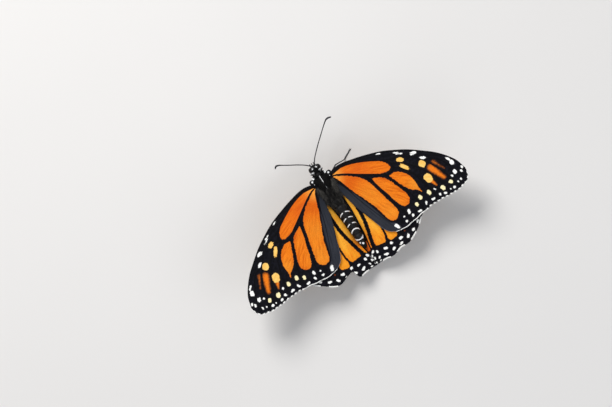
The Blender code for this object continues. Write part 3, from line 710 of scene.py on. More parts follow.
def wing_finish(name, colours, vein_black, spot_growth, pale_rims):
    """Powdery wing scales: the markings' edges waver by a scale's width, and veins show dark.

    vein_black is half the width of the dark line along a vein, spot_growth how much larger the
    pale spots are than drawn; with pale_rims the veins are edged with white.
    """
    f = Finish(name)
    at = f.place()
    ray = f.attribute("ray", "Vector")
    waver = f.times(f.sum(f.noise(at, 4.5, 3.0, 0.65), -0.5), 0.34)
    drift = f.times(f.sum(f.noise(at, 1.25, 2.0), -0.5), 0.75)
    streak = f.noise(ray, 1.0, 4.0, 0.6)
    blotch = f.noise(at, 0.45, 2.0)

    def mark(mark_name, soft, growth=0.0):
        wavering = f.sum(f.sum(f.attribute(mark_name), waver), drift)
        return f.ramp(wavering, -soft - growth, soft - growth)

    # orange: streaked along the rays, lighter inside each cell, with its hazes and flecks
    orange = f.mix(f.ramp(streak, 0.36, 0.52), colours["orange_deep"], colours["orange"])
    lighter = f.times(f.ramp(f.attribute("orange"), 0.1, 1.5), f.ramp(streak, 0.42, 0.64))
    orange = f.mix(lighter, orange, colours["orange_light"])
    orange = f.mix(f.attribute("ember"), orange, colours["ember"])
    # the glow hazes are paler orange, and painted light beside the hind wing's shaded trough
    orange = f.mix(f.attribute("glow"), orange, colours["glow"])
    orange = f.mix(f.ramp(f.attribute("reach"), 2.0, 7.0, 0.9, 0.0), orange, colours["base"])
    orange = f.mix(f.ramp(blotch, 0.35, 0.75, 0.0, 0.35), orange, colours["orange"])
    fleck = f.ramp(f.noise(ray, 2.3, 3.0, 0.7), 0.62, 0.74, 0.0, 0.4)
    orange = f.mix(fleck, orange, colours["fleck"])

    # black, with slate at the rear: grey scales and partly a painted sheen
    black = f.mix(f.ramp(f.noise(at, 1.1, 4.0), 0.35, 0.7), colours["black"], colours["black_blue"])
    slate = f.mix(f.ramp(streak, 0.3, 0.72), colours["slate"], colours["slate_dark"])
    slate = f.mix(f.ramp(f.attribute("reach"), 5.0, 14.0), colours["slate_dark"], slate)
    black = f.mix(f.ramp(f.sum(f.attribute("slate"), waver), -0.1, 0.5), black, slate)

    # the markings one over another, then the dark lines of the veins
    colour = f.mix(mark("orange", 0.07), black, orange)
    rust = f.ramp(f.sum(f.attribute("rust"), f.times(f.sum(waver, drift), 0.7)), -0.36, 0.4)
    colour = f.mix(f.times(rust, f.ramp(streak, 0.2, 0.55, 0.5, 1.0)), colour, colours["rust"])
    amber = f.mix(f.ramp(streak, 0.3, 0.7), colours["amber"], colours["amber_pale"])
    colour = f.mix(mark("amber", 0.09), colour, amber)
    colour = f.mix(mark("cream", 0.09, spot_growth), colour, colours["cream"])
    colour = f.mix(mark("white", 0.08, spot_growth), colour, colours["white"])
    if pale_rims:
        rim = f.ramp(f.ramp(f.attribute("vein"), 0.34, 0.62), 0.0, 1.0, 0.55, 0.0)
        rim = f.times(f.ramp(f.attribute("orange"), -0.35, 0.1), rim)
        colour = f.mix(rim, colour, colours["white"])
    clear = f.greater(f.attribute("white"), f.greater(f.attribute("cream"), f.attribute("amber")))
    line = f.ramp(f.attribute("vein"), vein_black, vein_black + 0.12, 1.0, 0.0)
    line = f.times(line, f.ramp(f.attribute("slate"), 0.2, 0.6, 1.0, 0.2))
    line = f.times(line, f.ramp(f.attribute("reach"), 1.2, 2.8, 0.15, 1.0))
    colour = f.mix(f.times(line, f.ramp(clear, -0.1, 0.1, 1.0, 0.0)), colour, colours["black"])

    # each scale a little lighter or darker, and all of them raised in rows
    powder = f.cells(at, SCALES_PER_MM, "Color")
    shade = f.ramp(f.node("ShaderNodeSeparateColor", {"Color": powder}, "Red"), 0.0, 1.0, 0.86, 1.12)
    colour = f.node("ShaderNodeHueSaturation", {"Color": colour, "Value": shade})
    relief = f.sum(f.cells(at, SCALES_PER_MM), f.times(f.noise(ray, 3.2, 2.0), 1.2))
    return f.set(Base_Color=colour, Normal=f.bump(relief, 0.016 * MM), Specular_IOR_Level=0.09,
                 Roughness=f.ramp(blotch, 0.2, 0.8, 0.5, 0.66))


# colours of the wings' scales, above and below
UPPER = dict(orange=(0.78, 0.175, 0.006), orange_deep=(0.60, 0.105, 0.004),
             orange_light=(0.92, 0.245, 0.012), ember=(0.66, 0.095, 0.004), base=(0.93, 0.36, 0.05),
             fleck=(0.93, 0.36, 0.04), glow=(0.86, 0.30, 0.024),
             black=(0.002, 0.002, 0.0035), black_blue=(0.006, 0.006, 0.011),
             slate=(0.035, 0.038, 0.050), slate_dark=(0.020, 0.023, 0.031),
             rust=(0.82, 0.195, 0.010), amber=(0.93, 0.50, 0.10), amber_pale=(0.96, 0.64, 0.19),
             cream=(0.98, 0.87, 0.50), white=(0.97, 0.97, 0.94))
# the hind wing's glow colour is also painted light, brightening the shaded trough beside the abdomen
UPPER_HIND = dict(UPPER, orange=(0.90, 0.31, 0.014), orange_deep=(0.84, 0.24, 0.009),
                  orange_light=(0.96, 0.40, 0.024), ember=(0.70, 0.13, 0.006), glow=(1.0, 0.50, 0.055),
                  base=(0.96, 0.42, 0.05), rust=(0.60, 0.11, 0.008))
UNDER = dict(UPPER, orange=(0.74, 0.25, 0.035), orange_deep=(0.62, 0.18, 0.02),
             ember=(0.58, 0.16, 0.02), glow=(0.80, 0.36, 0.08),
             orange_light=(0.80, 0.33, 0.06), base=(0.86, 0.42, 0.10), fleck=(0.86, 0.48, 0.16),
             rust=(0.66, 0.36, 0.11), amber=(0.80, 0.55, 0.22), amber_pale=(0.88, 0.66, 0.34),
             slate=(0.10, 0.075, 0.05), slate_dark=(0.05, 0.04, 0.03))
UNDER_HIND = dict(UNDER, orange=(0.68, 0.40, 0.13), orange_deep=(0.60, 0.31, 0.085),
                  orange_light=(0.76, 0.50, 0.20), glow=(0.78, 0.54, 0.24), base=(0.80, 0.56, 0.26),
                  fleck=(0.84, 0.62, 0.34))


def wing_sheet(kind, side, name):
    """A grid laid on the wing's surface and given its thickness, with its markings noted on it."""
    wing = WINGS[kind]
    bpy.ops.mesh.primitive_grid_add(x_subdivisions=wing["spans"], y_subdivisions=wing["chords"],
                                    size=2.0)
    sheet = started(name)
    flat = places(sheet.data)
    u, v = (flat[:, 0] + 1) / 2, (flat[:, 1] + 1) / 2
    plan, body = wing_points(kind, side, u, v)
    seen = plan + np.stack([marking_shift(kind, side, plan[:, 1]), np.zeros(len(plan))], 1)
    outer = np.array(HINDWING_OUTER) + (HINDWING_SHIFT * side, 0)
    marks = forewing_marks(seen) if kind == "forewing" else hindwing_marks(seen, outer, side)
    sunk = 1 - np.exp(-(marks["vein"] / VEIN_SLOPE) ** 2)
    body[:, 2] -= WING_SINK * sunk * eased(u, 0, 0.2)
    move_to(sheet.data, stand(side, *body.T))
    d = seen - wing["root"]
    reach = np.linalg.norm(d, axis=1)
    marks["reach"] = reach
    marks["ray"] = np.stack([reach * RAY_STRETCH, np.arctan2(d[:, 1], d[:, 0]) * RAY_SPREAD,
                             np.zeros(len(d))], 1)
    for mark_name, values in marks.items():
        note(sheet.data, mark_name, values)
    apply_modifier(sheet, "SOLIDIFY", thickness=WING_SHEET * MM, offset=0.0, use_even_offset=True)
    return sheet


def wing_veins(kind, side, name):
    """The wing's veins as thin rods that lie on it, black all along."""
    strands = []
    for vein, line in WINGS[kind]["veins"].items():
        path = stand(side, *on_wing(kind, side, line, max(8, 4 * len(line))).T)
        thick = MAIN_VEIN_RADIUS if vein in MAIN_VEINS else VEIN_RADIUS
        strands.append((path, [thick, thick * 0.85, thick * 0.6, VEIN_END_RADIUS]))
    veins = rod(name, strands, sides=6)
    count = len(veins.data.vertices)
    for mark_name in ("orange", "amber", "rust", "cream", "white", "slate"):
        note(veins.data, mark_name, np.full(count, ABSENT))
    for mark_name in ("ember", "glow", "vein"):
        note(veins.data, mark_name, np.zeros(count))
    note(veins.data, "reach", np.full(count, 30.0))
    note(veins.data, "ray", places(veins.data) / MM)
    return veins


def map_wing(mesh, below):
    """Bake map of a wing: its upper faces in one half and its lower faces in the other."""
    co = places(mesh)
    low, high = co.min(0), co.max(0)
    share = (co - low) / (high - low)
    lean = 0.4 * (co[:, 2] - low[2]) / (high[0] - low[0])
    uv = np.stack([0.02 + 0.8 * share[:, 0] + lean, 0.02 + 0.4 * share[:, 1] + lean], 1)
    uv = uv[read(mesh.loops, "vertex_index")]
    uv[:, 1] += 0.49 * np.repeat(below, read(mesh.polygons, "loop_total"))
    lay_out(mesh, uv)


def build_wing(kind, side, word, above, under):
    """A wing with its veins joined to it, one finish above and another underneath."""
    sheet = wing_sheet(kind, side, f"{kind}_{word}_sheet")
    veins = wing_veins(kind, side, f"{kind}_{word}_veins")
    piece = joined([sheet, veins], f"{kind}_{word}_wing")
    face_outwards()
    mesh = piece.data
    mesh.materials.clear()
    mesh.materials.append(above)
    mesh.materials.append(under)
    below = (read(mesh.polygons, "normal", 3, np.float32)[:, 2] < 0).astype(np.int32)
    mesh.polygons.foreach_set("material_index", below)
    map_wing(mesh, below)
    hand_in(piece, kind, f"{kind}_{word}")


def build_wings():
    """The four wings, with other scales on the hind wings and on every underside."""
    upper = wing_finish("forewing_scales_above", UPPER, 0.2, 0.0, False)
    upper_hind = wing_finish("hindwing_scales_above", UPPER_HIND, 0.22, 0.0, False)
    under = wing_finish("forewing_scales_below", UNDER, 0.22, 0.12, False)
    under_hind = wing_finish("hindwing_scales_below", UNDER_HIND, 0.26, 0.16, True)
    for side, word in SIDES:
        build_wing("forewing", side, word, upper, under)
        build_wing("hindwing", side, word, upper_hind, under_hind)


# ---------------------------------------------------------------- stage
FRAME_TURN = math.radians(32.5)  # how far the body is turned in the camera's frame
FRAME_WIDTH = 0.2318             # how much the camera sees from side to side, in metres
CAMERA_DISTANCE = 0.9
SENSOR_WIDTH = 36.0
AIM = stand(LEFT, 9.86, 8.99, 0.0)
FLOOR_SIZE = 4.0


def lay_floor():
    """A wide floor, pale and dull."""
    bpy.ops.mesh.primitive_plane_add(size=FLOOR_SIZE)
    floor = started("floor")
    f = Finish("pale_floor")
    tone = f.mix(f.noise(f.place(9, 9, 9), 1.0), (0.70, 0.69, 0.68), (0.73, 0.72, 0.71))
    floor.data.materials.append(f.set(Base_Color=tone, Roughness=0.9))


def set_camera(right, up, towards):
    """A camera that looks at the body from the way towards it, with its right and its top."""
    camera = bpy.data.objects.new("camera", bpy.data.cameras.new("camera"))
    bpy.context.scene.collection.objects.link(camera)
    turned = np.eye(4)
    turned[:3, 0], turned[:3, 1], turned[:3, 2] = right, up, towards
    turned[:3, 3] = AIM + towards * CAMERA_DISTANCE
    camera.matrix_world = Matrix(turned.tolist())
    camera.data.sensor_width = SENSOR_WIDTH
    camera.data.lens = SENSOR_WIDTH * CAMERA_DISTANCE / FRAME_WIDTH
    camera.data.clip_start = 0.01
    bpy.context.scene.camera = camera


def softbox(name, direction, distance, size, power, colour):
    """A round lamp that shines on the body from one direction."""
    at = AIM + np.array(direction) / np.linalg.norm(direction) * distance
    lamp = bpy.data.objects.new(name, bpy.data.lights.new(name, "AREA"))
    bpy.context.scene.collection.objects.link(lamp)
    lamp.data.shape = "DISK"
    lamp.data.size = size
    lamp.data.energy = power
    lamp.data.color = colour
    lamp.location = at
    lamp.rotation_euler = (Vector(AIM) - Vector(at)).to_track_quat("-Z", "Y").to_euler()


def set_stage():
    """The floor, a camera straight above the turned body, three soft lamps and a pale room."""
    lay_floor()
    head = np.array([0, -math.cos(PITCH), math.sin(PITCH)])
    away = np.array([-1.0, 0, 0])
    right = math.cos(FRAME_TURN) * away - math.sin(FRAME_TURN) * head
    up = math.sin(FRAME_TURN) * away + math.cos(FRAME_TURN) * head
    towards = np.cross(right, up)
    set_camera(right, up, towards)
    softbox("key_light", up * 0.75 - right * 0.55 + towards * 0.9, 0.75, 0.42, 5.2,
            (1.0, 0.985, 0.96))
    softbox("fill_light", right * 0.9 - up * 0.4 + towards * 0.7, 0.8, 0.6, 1.8, (0.93, 0.96, 1.0))
    softbox("rim_light", -up * 0.9 + towards * 0.5, 0.8, 0.5, 1.2, (1.0, 1.0, 1.0))
    world = bpy.data.worlds.new("soft_room")
    world.use_nodes = True
    world.node_tree.nodes["Background"].inputs["Color"].default_value = (0.93, 0.95, 1.0, 1.0)
    world.node_tree.nodes["Background"].inputs["Strength"].default_value = 0.33
    bpy.context.scene.world = world
    bpy.context.scene.view_settings.view_transform = "Standard"


# ---------------------------------------------------------------- body skin
# lumps of the body as (place, radii), first those on the midline, then those on both sides
HEAD_BALLS = [((0, -0.3, -0.1), (1.3, 1.5, 1.45)), ((0, -0.15, 0.85), (1.3, 1.2, 0.78)),
              ((0, -1.15, -0.35), (0.85, 0.72, 1.0)), ((0, 1.4, -0.1), (1.4, 1.2, 1.0))]
HEAD_PAIRS = [((1.75, 0.82, -0.1), (0.85, 0.45, 1.1)), ((0.75, -1.55, 1.1), (0.32, 0.4, 0.36)),
              ((0.8, -1.5, -1.35), (0.3, 0.5, 0.45))]
CHEST_BALLS = [((0, 2.4, 0.35), (1.5, 0.95, 1.35)), ((0, 2.7, -0.7), (1.5, 1.3, 1.5)),
               ((0, 6.0, 0.35), (2.75, 3.5, 2.85)), ((0, 9.1, 1.75), (1.35, 1.0, 0.95)),
               ((0, 9.7, 0.0), (2.25, 1.75, 2.2)), ((0, 11.3, -0.1), (1.55, 1.5, 1.7))]
CHEST_PAIRS = [((1.3, 2.45, 0.95), (1.15, 0.7, 0.95)), ((2.15, 2.65, 0.75), (0.85, 0.72, 0.8)),
               ((1.7, 4.6, 0.8), (1.35, 1.9, 1.6)), ((2.75, 4.2, 1.45), (1.25, 1.5, 0.8)),
               ((3.75, 3.7, 1.8), (0.98, 1.05, 0.45)),
               ((3.0, 6.3, 1.25), (0.95, 2.1, 0.5)), ((2.5, 9.6, 0.3), (0.95, 1.6, 0.55)),
               ((1.0, 6.2, -1.4), (1.6, 3.0, 1.75)), ((0.95, 3.5, -2.0), (0.5, 0.65, 0.9)),
               ((1.75, 5.6, -2.5), (0.8, 0.95, 0.75)), ((2.35, 5.7, -2.8), (0.6, 0.5, 0.42)),
               ((1.5, 9.0, -2.35), (0.8, 1.0, 0.75)), ((2.05, 9.2, -2.75), (0.52, 0.48, 0.4))]
PALP_PATH = [(0.85, -1.7, -1.7), (0.88, -2.3, -1.35), (0.86, -2.5, -0.5), (0.8, -2.35, 0.3)]
PALP_BALLS, PALP_RADII = 9, (0.2, 0.27, 0.17)     # radii at the root, the middle and the tip
TAIL_BALL = (33.1, -0.98, (0.85, 0.85, 0.8))      # back, rise and radii of the last lump
SEGMENT_LENGTH = (ABDOMEN_END - ABDOMEN_START) / ABDOMEN_SEGMENTS
LUMP_PLACE, LUMP_REACH = 0.48, 0.86      # middle and half length of a lump, in segment lengths
SKIN_DEPTH = 0.2                 # skin below the coat's outside on the abdomen
SKIN_GRAIN = 0.11                # size of the remeshed skin's faces

# white spots on both sides: on top as (out, back, radius), elsewhere as (out, back, rise, radius)
TOP_SPOTS = [(0.85, -0.8, 0.42), (1.36, 0.76, 0.48), (2.36, 0.35, 0.48), (2.55, 2.6, 0.5),
             (3.52, 3.55, 0.4), (3.3, 4.75, 0.25)]
SIDE_SPOTS = [(2.0, 0.85, -0.7, 0.34), (0.75, -1.6, -0.1, 0.22), (2.75, 3.4, 0.1, 0.4),
              (2.6, 5.0, -0.9, 0.42), (2.5, 7.1, -1.4, 0.42), (2.1, 9.3, -1.3, 0.4),
              (1.9, 5.4, -2.9, 0.4), (1.6, 8.6, -2.9, 0.36), (1.1, 3.4, -2.4, 0.36),
              (0.88, -2.4, -0.9, 0.3), (0.85, -1.9, -1.75, 0.28)]
BACK_LINES = [(2.8, 6.0), (7.3, 8.3)]    # pale line down the chest, each part from and to
BACK_LINE_HALF = 0.11            # half its width
# white on the abdomen: arcs by where they would cross the midline and a ring, white scales and painted
# highlight on the segments' rear rims, and tufts at the tip
WHITE_AND_HIGHLIGHT_ARCS = (19.5, 21.9, 24.5)
ARC_RADIUS, ARC_BEND, ARC_HALF = 2.5, 2.0, 0.19      # how far out they go, how far back, half width
WHITE_AND_HIGHLIGHT_RING, RING_RADII, RING_HALF = 29.2, (2.1, 2.25), 0.095      # half width as a share
TAIL_TUFTS = [(1.1, 31.1, 0.42), (-1.3, 31.3, 0.42), (-0.35, 33.3, 0.42), (0.6, 32.6, 0.34)]
BELLY_SPOTS_OUT, BELLY_SPOT_RADIUS = 1.15, 0.4       # a pair on the underside of each segment


def ball(centre, radii, side=LEFT):
    """A sphere squashed to size and laid in the body's frame, on one side or on the midline."""
    bpy.ops.mesh.primitive_uv_sphere_add(segments=28, ring_count=18, radius=1.0)
    thing = started("body_lump")
    unit = places(thing.data)
    out, back, rise = (centre[k] + radii[k] * unit[:, k] for k in range(3))
    move_to(thing.data, stand(side, out, back, rise))
    return thing


def body_white(x, back, rise):
    """Share of white, 0 to 1, at points of the body: white scales, and painted highlight on the
    abdomen's arcs and ring; the same for skin and coat.
    """
    out = np.abs(x)
    share = np.zeros(len(x))

    def within_reach(away, radius, soft=0.06):
        return 1 - eased(away, radius - soft, radius + soft)

    for spot in TOP_SPOTS:
        away = np.hypot(out - spot[0], back - spot[1])
        share = np.maximum(share, within_reach(away, spot[2]) * (rise > 0.0))
    for spot in SIDE_SPOTS:
        away = np.sqrt((out - spot[0]) ** 2 + (back - spot[1]) ** 2 + (rise - spot[2]) ** 2)
        share = np.maximum(share, within_reach(away, spot[3]))
    for start, end in BACK_LINES:
        on_line = (back > start) * (back < end) * (rise > 0.5)
        share = np.maximum(share, within_reach(out, BACK_LINE_HALF, 0.04) * on_line)
    on_top = rise > -0.9
    # arcs and ring: white scales and painted highlight on the rear rims of the segments
    off = x - abdomen_lean(back)
    bend = 1 - np.sqrt(np.clip(1 - (off / ARC_RADIUS) ** 2, 0, 1))
    for arc in WHITE_AND_HIGHLIGHT_ARCS:
        rim = np.abs(back - arc - ARC_BEND * bend)
        share = np.maximum(share, within_reach(rim, ARC_HALF) * (np.abs(off) > 0.5) * on_top)
    ring = np.abs(np.hypot(off / RING_RADII[0], (back - WHITE_AND_HIGHLIGHT_RING) / RING_RADII[1]) - 1)
    share = np.maximum(share, within_reach(ring, RING_HALF, 0.03) * on_top)
    for tuft_x, tuft_back, radius in TAIL_TUFTS:
        near = np.hypot(x - tuft_x, back - tuft_back)
        share = np.maximum(share, within_reach(near, radius) * on_top)
    along = (back - ABDOMEN_START) / SEGMENT_LENGTH
    belly = np.hypot((along % 1 - 0.5) * SEGMENT_LENGTH, (out - BELLY_SPOTS_OUT) * 1.3)
    on_belly = (rise < abdomen_axis(back) - 0.9) & (back > 13.5) & (back < 32)
    return np.maximum(share, within_reach(belly, BELLY_SPOT_RADIUS) * on_belly)


def grey_ridge(x):
    """How grey the hair is by its distance from the midline: palest where the chest meets a wing."""
    return np.exp(-((np.abs(x) - 2.7) / 0.8) ** 2)


def body_grey(x, back):
    """Share of smoky grey hair: over the rear of the chest, the wing bases and the waist."""
    flank = grey_ridge(x) * eased(back, 6.0, 8.5)
    saddle = 0.6 * eased(back, 7.0, 9.5)
    clump = 0.5 + 0.5 * np.sin(x * 5.3 + 1.7 * np.sin(back * 0.9)) * np.sin(back * 1.1 + x * 1.3)
    fade = 1 - eased(back, 15.0, 19.0)
    return np.maximum(flank * (0.7 + 0.3 * clump), saddle * clump ** 3) * fade


def body_scales():
    """Black scales laid like shingles, white on the spots and a little grey at the rear."""
    f = Finish("body_scales")
    mottle = f.noise(f.place(), 3.0, 4.0, 0.65)
    dark = f.mix(f.ramp(mottle, 0.35, 0.7), (0.005, 0.005, 0.006), (0.016, 0.015, 0.017))
    dark = f.mix(f.attribute("grey"), dark, (0.035, 0.033, 0.032))
    white = f.ramp(f.sum(f.attribute("white"), f.times(f.sum(mottle, -0.5), 0.3)), 0.4, 0.6)
    shingles = f.cells(f.place(7 / MM, 4 / MM, 7 / MM), 1.0)
    return f.set(Base_Color=f.mix(white, dark, (0.80, 0.81, 0.82)), Specular_IOR_Level=0.25,
                 Roughness=f.ramp(mottle, 0.2, 0.8, 0.42, 0.6), Normal=f.bump(shingles, 0.05 * MM))


def body_lumps():
    """The lumps of head, chest and tegulae, one for each ring of the abdomen, and the palps."""
    lumps = [ball(*lump) for lump in HEAD_BALLS + CHEST_BALLS]
    lumps += [ball(*lump, side) for side in (LEFT, RIGHT) for lump in HEAD_PAIRS + CHEST_PAIRS]
    for segment in range(ABDOMEN_SEGMENTS):
        back = ABDOMEN_START + SEGMENT_LENGTH * (segment + LUMP_PLACE)
        wide = float(abdomen_radius(back)) - SKIN_DEPTH
        centre = (float(abdomen_lean(back)), back, float(abdomen_axis(back)))
        lumps.append(ball(centre, (wide, SEGMENT_LENGTH * LUMP_REACH, wide)))
    back, rise, radii = TAIL_BALL
    lumps.append(ball((float(abdomen_lean(back)), back, rise), radii))
    palp = smooth_path(PALP_PATH, PALP_BALLS)
    thick = np.interp(range(PALP_BALLS), (0, PALP_BALLS // 2, PALP_BALLS - 1), PALP_RADII)
    for side in (LEFT, RIGHT):
        lumps += [ball(place, (wide, wide, wide), side) for place, wide in zip(palp, thick)]
    return lumps


def round_body(x, back, rise):
    """Share of the way round the body, from under the belly, and along it from front to tail."""
    return np.arctan2(x, -(rise - 0.1)) / (2 * math.pi) + 0.5, (back + 3.5) / 39


def round_map(around, along):
    """Places on the bake map for the way round the body and the way along it."""
    return np.stack([0.03 + around * 0.92, 0.03 + along * 0.94], 1)


def unwrap_round(mesh, around, along):
    """Bake map of the skin; faces on the seam under the belly run on past its edge."""
    index = read(mesh.loops, "vertex_index")
    u = around[index]
    counts = read(mesh.polygons, "loop_total")
    starts = np.r_[0, np.cumsum(counts)[:-1]]
    wide = np.maximum.reduceat(u, starts) - np.minimum.reduceat(u, starts) > 0.5
    u = np.where(np.repeat(wide, counts) & (u < 0.5), u + 1, u)
    lay_out(mesh, round_map(u, along[index]))


def build_skin():
    """One skin for head, chest, tegulae, palps and abdomen: lumps fused by a fine remesh."""
    skin = joined(body_lumps(), "body_skin")
    apply_modifier(skin, "REMESH", mode="VOXEL", voxel_size=SKIN_GRAIN * MM, use_smooth_shade=True)
    apply_modifier(skin, "SMOOTH", factor=0.5, iterations=2)
    x, back, rise = lie(places(skin.data))
    note(skin.data, "white", body_white(x, back, rise))
    note(skin.data, "grey", body_grey(x, back))
    skin.data.materials.append(body_scales())
    unwrap_round(skin.data, *round_body(x, back, rise))
    return hand_in(skin, "body", "head", "neck", "thorax", "abdomen", "palp_left", "palp_right",
                   "tegula_left", "tegula_right")


# ---------------------------------------------------------------- coat
PATCH = 0.003                    # size of one lock's patch on the bake map
LOCK_ROOT = 0.7                  # radius of a lock at its root, for a lock 1 wide
LOCK_RISES = ((0.3, 1.4), (0.35, 0.72), (0.35, 0.06))    # (climb, swell) of each step to the tip
LOCK_FLATNESS = 0.45             # how thick a lock is for its width
LOCK_YAW, LOCK_SWAY = 0.16, 0.12     # how unevenly the locks turn and bend aside
HAIR_WIDTH, CHEST_HAIR_EXTRA, WHITE_HAIR_WIDTH = 0.05, 0.012, 0.07
HAIR_DEPTH = 0.05                # how deep a hair's root sits in the skin
COVER_PARTS = (0.0, 0.25, 0.5, 0.75, 0.95)   # places along a hair that stay off white spots
SMOKY_GREY = (0.155, 0.147, 0.133)


def model_lock():
    """One lock of hair, 1 long: three-sided, widest a third up and drawn to a point."""
    bpy.ops.mesh.primitive_circle_add(vertices=3, radius=LOCK_ROOT, fill_type="NGON")
    lock = started("lock")
    bpy.ops.object.mode_set(mode="EDIT")
    for climb, swell in LOCK_RISES:
        bpy.ops.mesh.extrude_region_move(TRANSFORM_OT_translate={"value": (0, 0, climb)})
        bpy.ops.transform.resize(value=(swell, swell, 1.0))
    face_outwards()
    shape = places(lock.data)
    faces = [tuple(face.vertices) for face in lock.data.polygons]
    bpy.data.objects.remove(lock)
    return shape, faces


LOCK, LOCK_FACES = model_lock()


def lock_mesh(name, places_of_locks):
    """A mesh of copies of the lock, from the places of the vertices of each: (locks, vertices, 3)."""
    count, per = places_of_locks.shape[:2]
    lengths = np.array([len(face) for face in LOCK_FACES])
    corners = np.concatenate(LOCK_FACES)
    starts = np.r_[0, np.cumsum(lengths)[:-1]]
    copies = np.arange(count)[:, None]
    mesh = bpy.data.meshes.new(name)
    mesh.vertices.add(count * per)
    mesh.loops.add(count * len(corners))
    mesh.polygons.add(count * len(lengths))
    mesh.vertices.foreach_set("co", places_of_locks.astype(np.float32).ravel())
    mesh.loops.foreach_set("vertex_index", (copies * per + corners).ravel().astype(np.int32))
    mesh.polygons.foreach_set("loop_start",
                              (copies * len(corners) + starts).ravel().astype(np.int32))
    mesh.update(calc_edges=True)
    mesh.validate()
    mesh.shade_smooth()
    return mesh


def grow(name, roots, up, lay, length, width, lift, curl, uv, seed, **notes):
    """Copies of the lock on their roots, lying along lay and rising towards up, as one mesh.

    length and width are in mm; lift is how steeply a lock starts, curl how far it bends back.
    Each of the four is one number, or one for each lock, as every note is.
    """
    random = np.random.default_rng(seed)
    count = len(roots)
    lay = lay - (lay * up).sum(1)[:, None] * up
    lay /= np.maximum(np.linalg.norm(lay, axis=1), 1e-9)[:, None]
    across = np.cross(up, lay)
    yaw = random.normal(0, LOCK_YAW, count)[:, None]
    lay, across = lay + yaw * across, across - yaw * lay
    sway = random.normal(0, LOCK_SWAY, count)[:, None]
    long, wide, lift, curl = (np.broadcast_to(value, count)[:, None]
                              for value in (length * MM, width * MM, lift, curl))
    t = LOCK[:, 2][None]
    ahead = long * t
    above = long * (lift * t - curl * t * t)
    aside = long * sway * t * t + wide * LOCK[:, 0][None]
    flat = wide * LOCK_FLATNESS * LOCK[:, 1][None]
    mesh = lock_mesh(name, roots[:, None] + lay[:, None] * ahead[..., None]
                     + up[:, None] * above[..., None] + across[:, None] * aside[..., None]
                     + up[:, None] * flat[..., None])
    piece = bpy.data.objects.new(name, mesh)
    bpy.context.scene.collection.objects.link(piece)
    note(mesh, "tip", np.broadcast_to(LOCK[:, 2], (count, len(LOCK))).ravel())
    note(mesh, "shade", np.repeat(random.random(count), len(LOCK)))
    for key, values in notes.items():
        note(mesh, key, np.repeat(np.broadcast_to(values, count), len(LOCK)))
    turn = np.arctan2(LOCK[:, 1], LOCK[:, 0])
    patch = np.stack([0.5 + turn / (2 * math.pi + 0.5), LOCK[:, 2] + 0.1 * LOCK[:, 1]], 1) - 0.5
    spread = uv[:, None] + patch[None] * PATCH
    lay_out(mesh, spread.reshape(-1, 2)[read(mesh.loops, "vertex_index")])
    return piece


def scatter(thing, count, seed, keep):
    """Even places on a mesh, count before keep(place) thins them: (place, normal, random)."""
    random = np.random.default_rng(seed)
    mesh = thing.data
    mesh.calc_loop_triangles()
    triangles = read(mesh.loop_triangles, "vertices", 3)
    a, b, c = places(mesh)[triangles].transpose(1, 0, 2)
    square = np.cross(b - a, c - a)
    size = np.linalg.norm(square, axis=1)
    covered = np.cumsum(size) / size.sum()
    drawn = (np.arange(count) + random.random(count)) / count
    pick = np.searchsorted(covered, drawn).clip(0, len(size) - 1)
    s, t = random.random((2, count, 1))
    s, t = np.where(s + t > 1, 1 - s, s), np.where(s + t > 1, 1 - t, t)
    place = a[pick] + s * (b - a)[pick] + t * (c - a)[pick]
    normal = square[pick] / np.maximum(size[pick], 1e-20)[:, None]
    kept = random.random(count) < keep(place)
    return place[kept], normal[kept], random


def coat_finish(name, dark, pale, grey, white, roughness=0.55):
    """Hair or scales: dark to pale from lock to lock, lighter to the tip, white where marked."""
    f = Finish(name)
    tone = f.mix(f.attribute("shade"), dark, pale)
    tone = f.mix(f.times(f.attribute("grey"), f.ramp(f.attribute("shade"), 0.0, 1.0, 0.45, 1.0)),
                 tone, grey)
    tone = f.mix(f.ramp(f.attribute("tip"), 0.3, 1.0, 0.0, 0.06), tone, grey)
    tone = f.mix(f.attribute("white"), tone, white)
    return f.set(Base_Color=tone, Specular_IOR_Level=0.12,
                 Roughness=f.ramp(f.attribute("shade"), 0.0, 1.0, roughness - 0.12, roughness + 0.1))


def body_direction(x, back, rise):
    """A direction of the body's frame, or an array of them, in the world."""
    x, back, rise = np.broadcast_arrays(np.asarray(x, float), back, rise)
    return np.stack([x, back * math.cos(PITCH) + rise * math.sin(PITCH),
                     rise * math.cos(PITCH) - back * math.sin(PITCH)], -1)


def head_hair(x, back, rise):
    """Length and width of the head's hair: short, longer on the crown."""
    return 0.32 + 0.35 * eased(rise, 0.6, 1.4), HAIR_WIDTH


def chest_hair(x, back, rise):
    """Length and width of the chest's hair: shaggy to the rear, short on the tegulae and parting."""
    above = eased(rise, 0.4, 2.0)
    tegula = eased(np.abs(x), 2.9, 3.4)
    parting = (1 - eased(np.abs(x), 0.3, 0.8)) * (1 - eased(back, 8.4, 9.4))
    length = 0.75 + 0.75 * above * eased(back, 3.0, 6.0) + 0.5 * eased(back, 7.5, 10.5)
    width = HAIR_WIDTH + CHEST_HAIR_EXTRA * above
    return length * (1 - 0.55 * tegula) * (1 - 0.5 * parting), width


def abdomen_hair(x, back, rise):
    """Length and width of the abdomen's scales: long hair at the waist, a tuft at the tail."""
    waist = 1 - eased(back, 12.0, 18.0)
    tail = eased(back, 32.4, 33.8)
    return 0.42 + 1.25 * waist + 0.4 * tail, 0.095 - 0.038 * waist


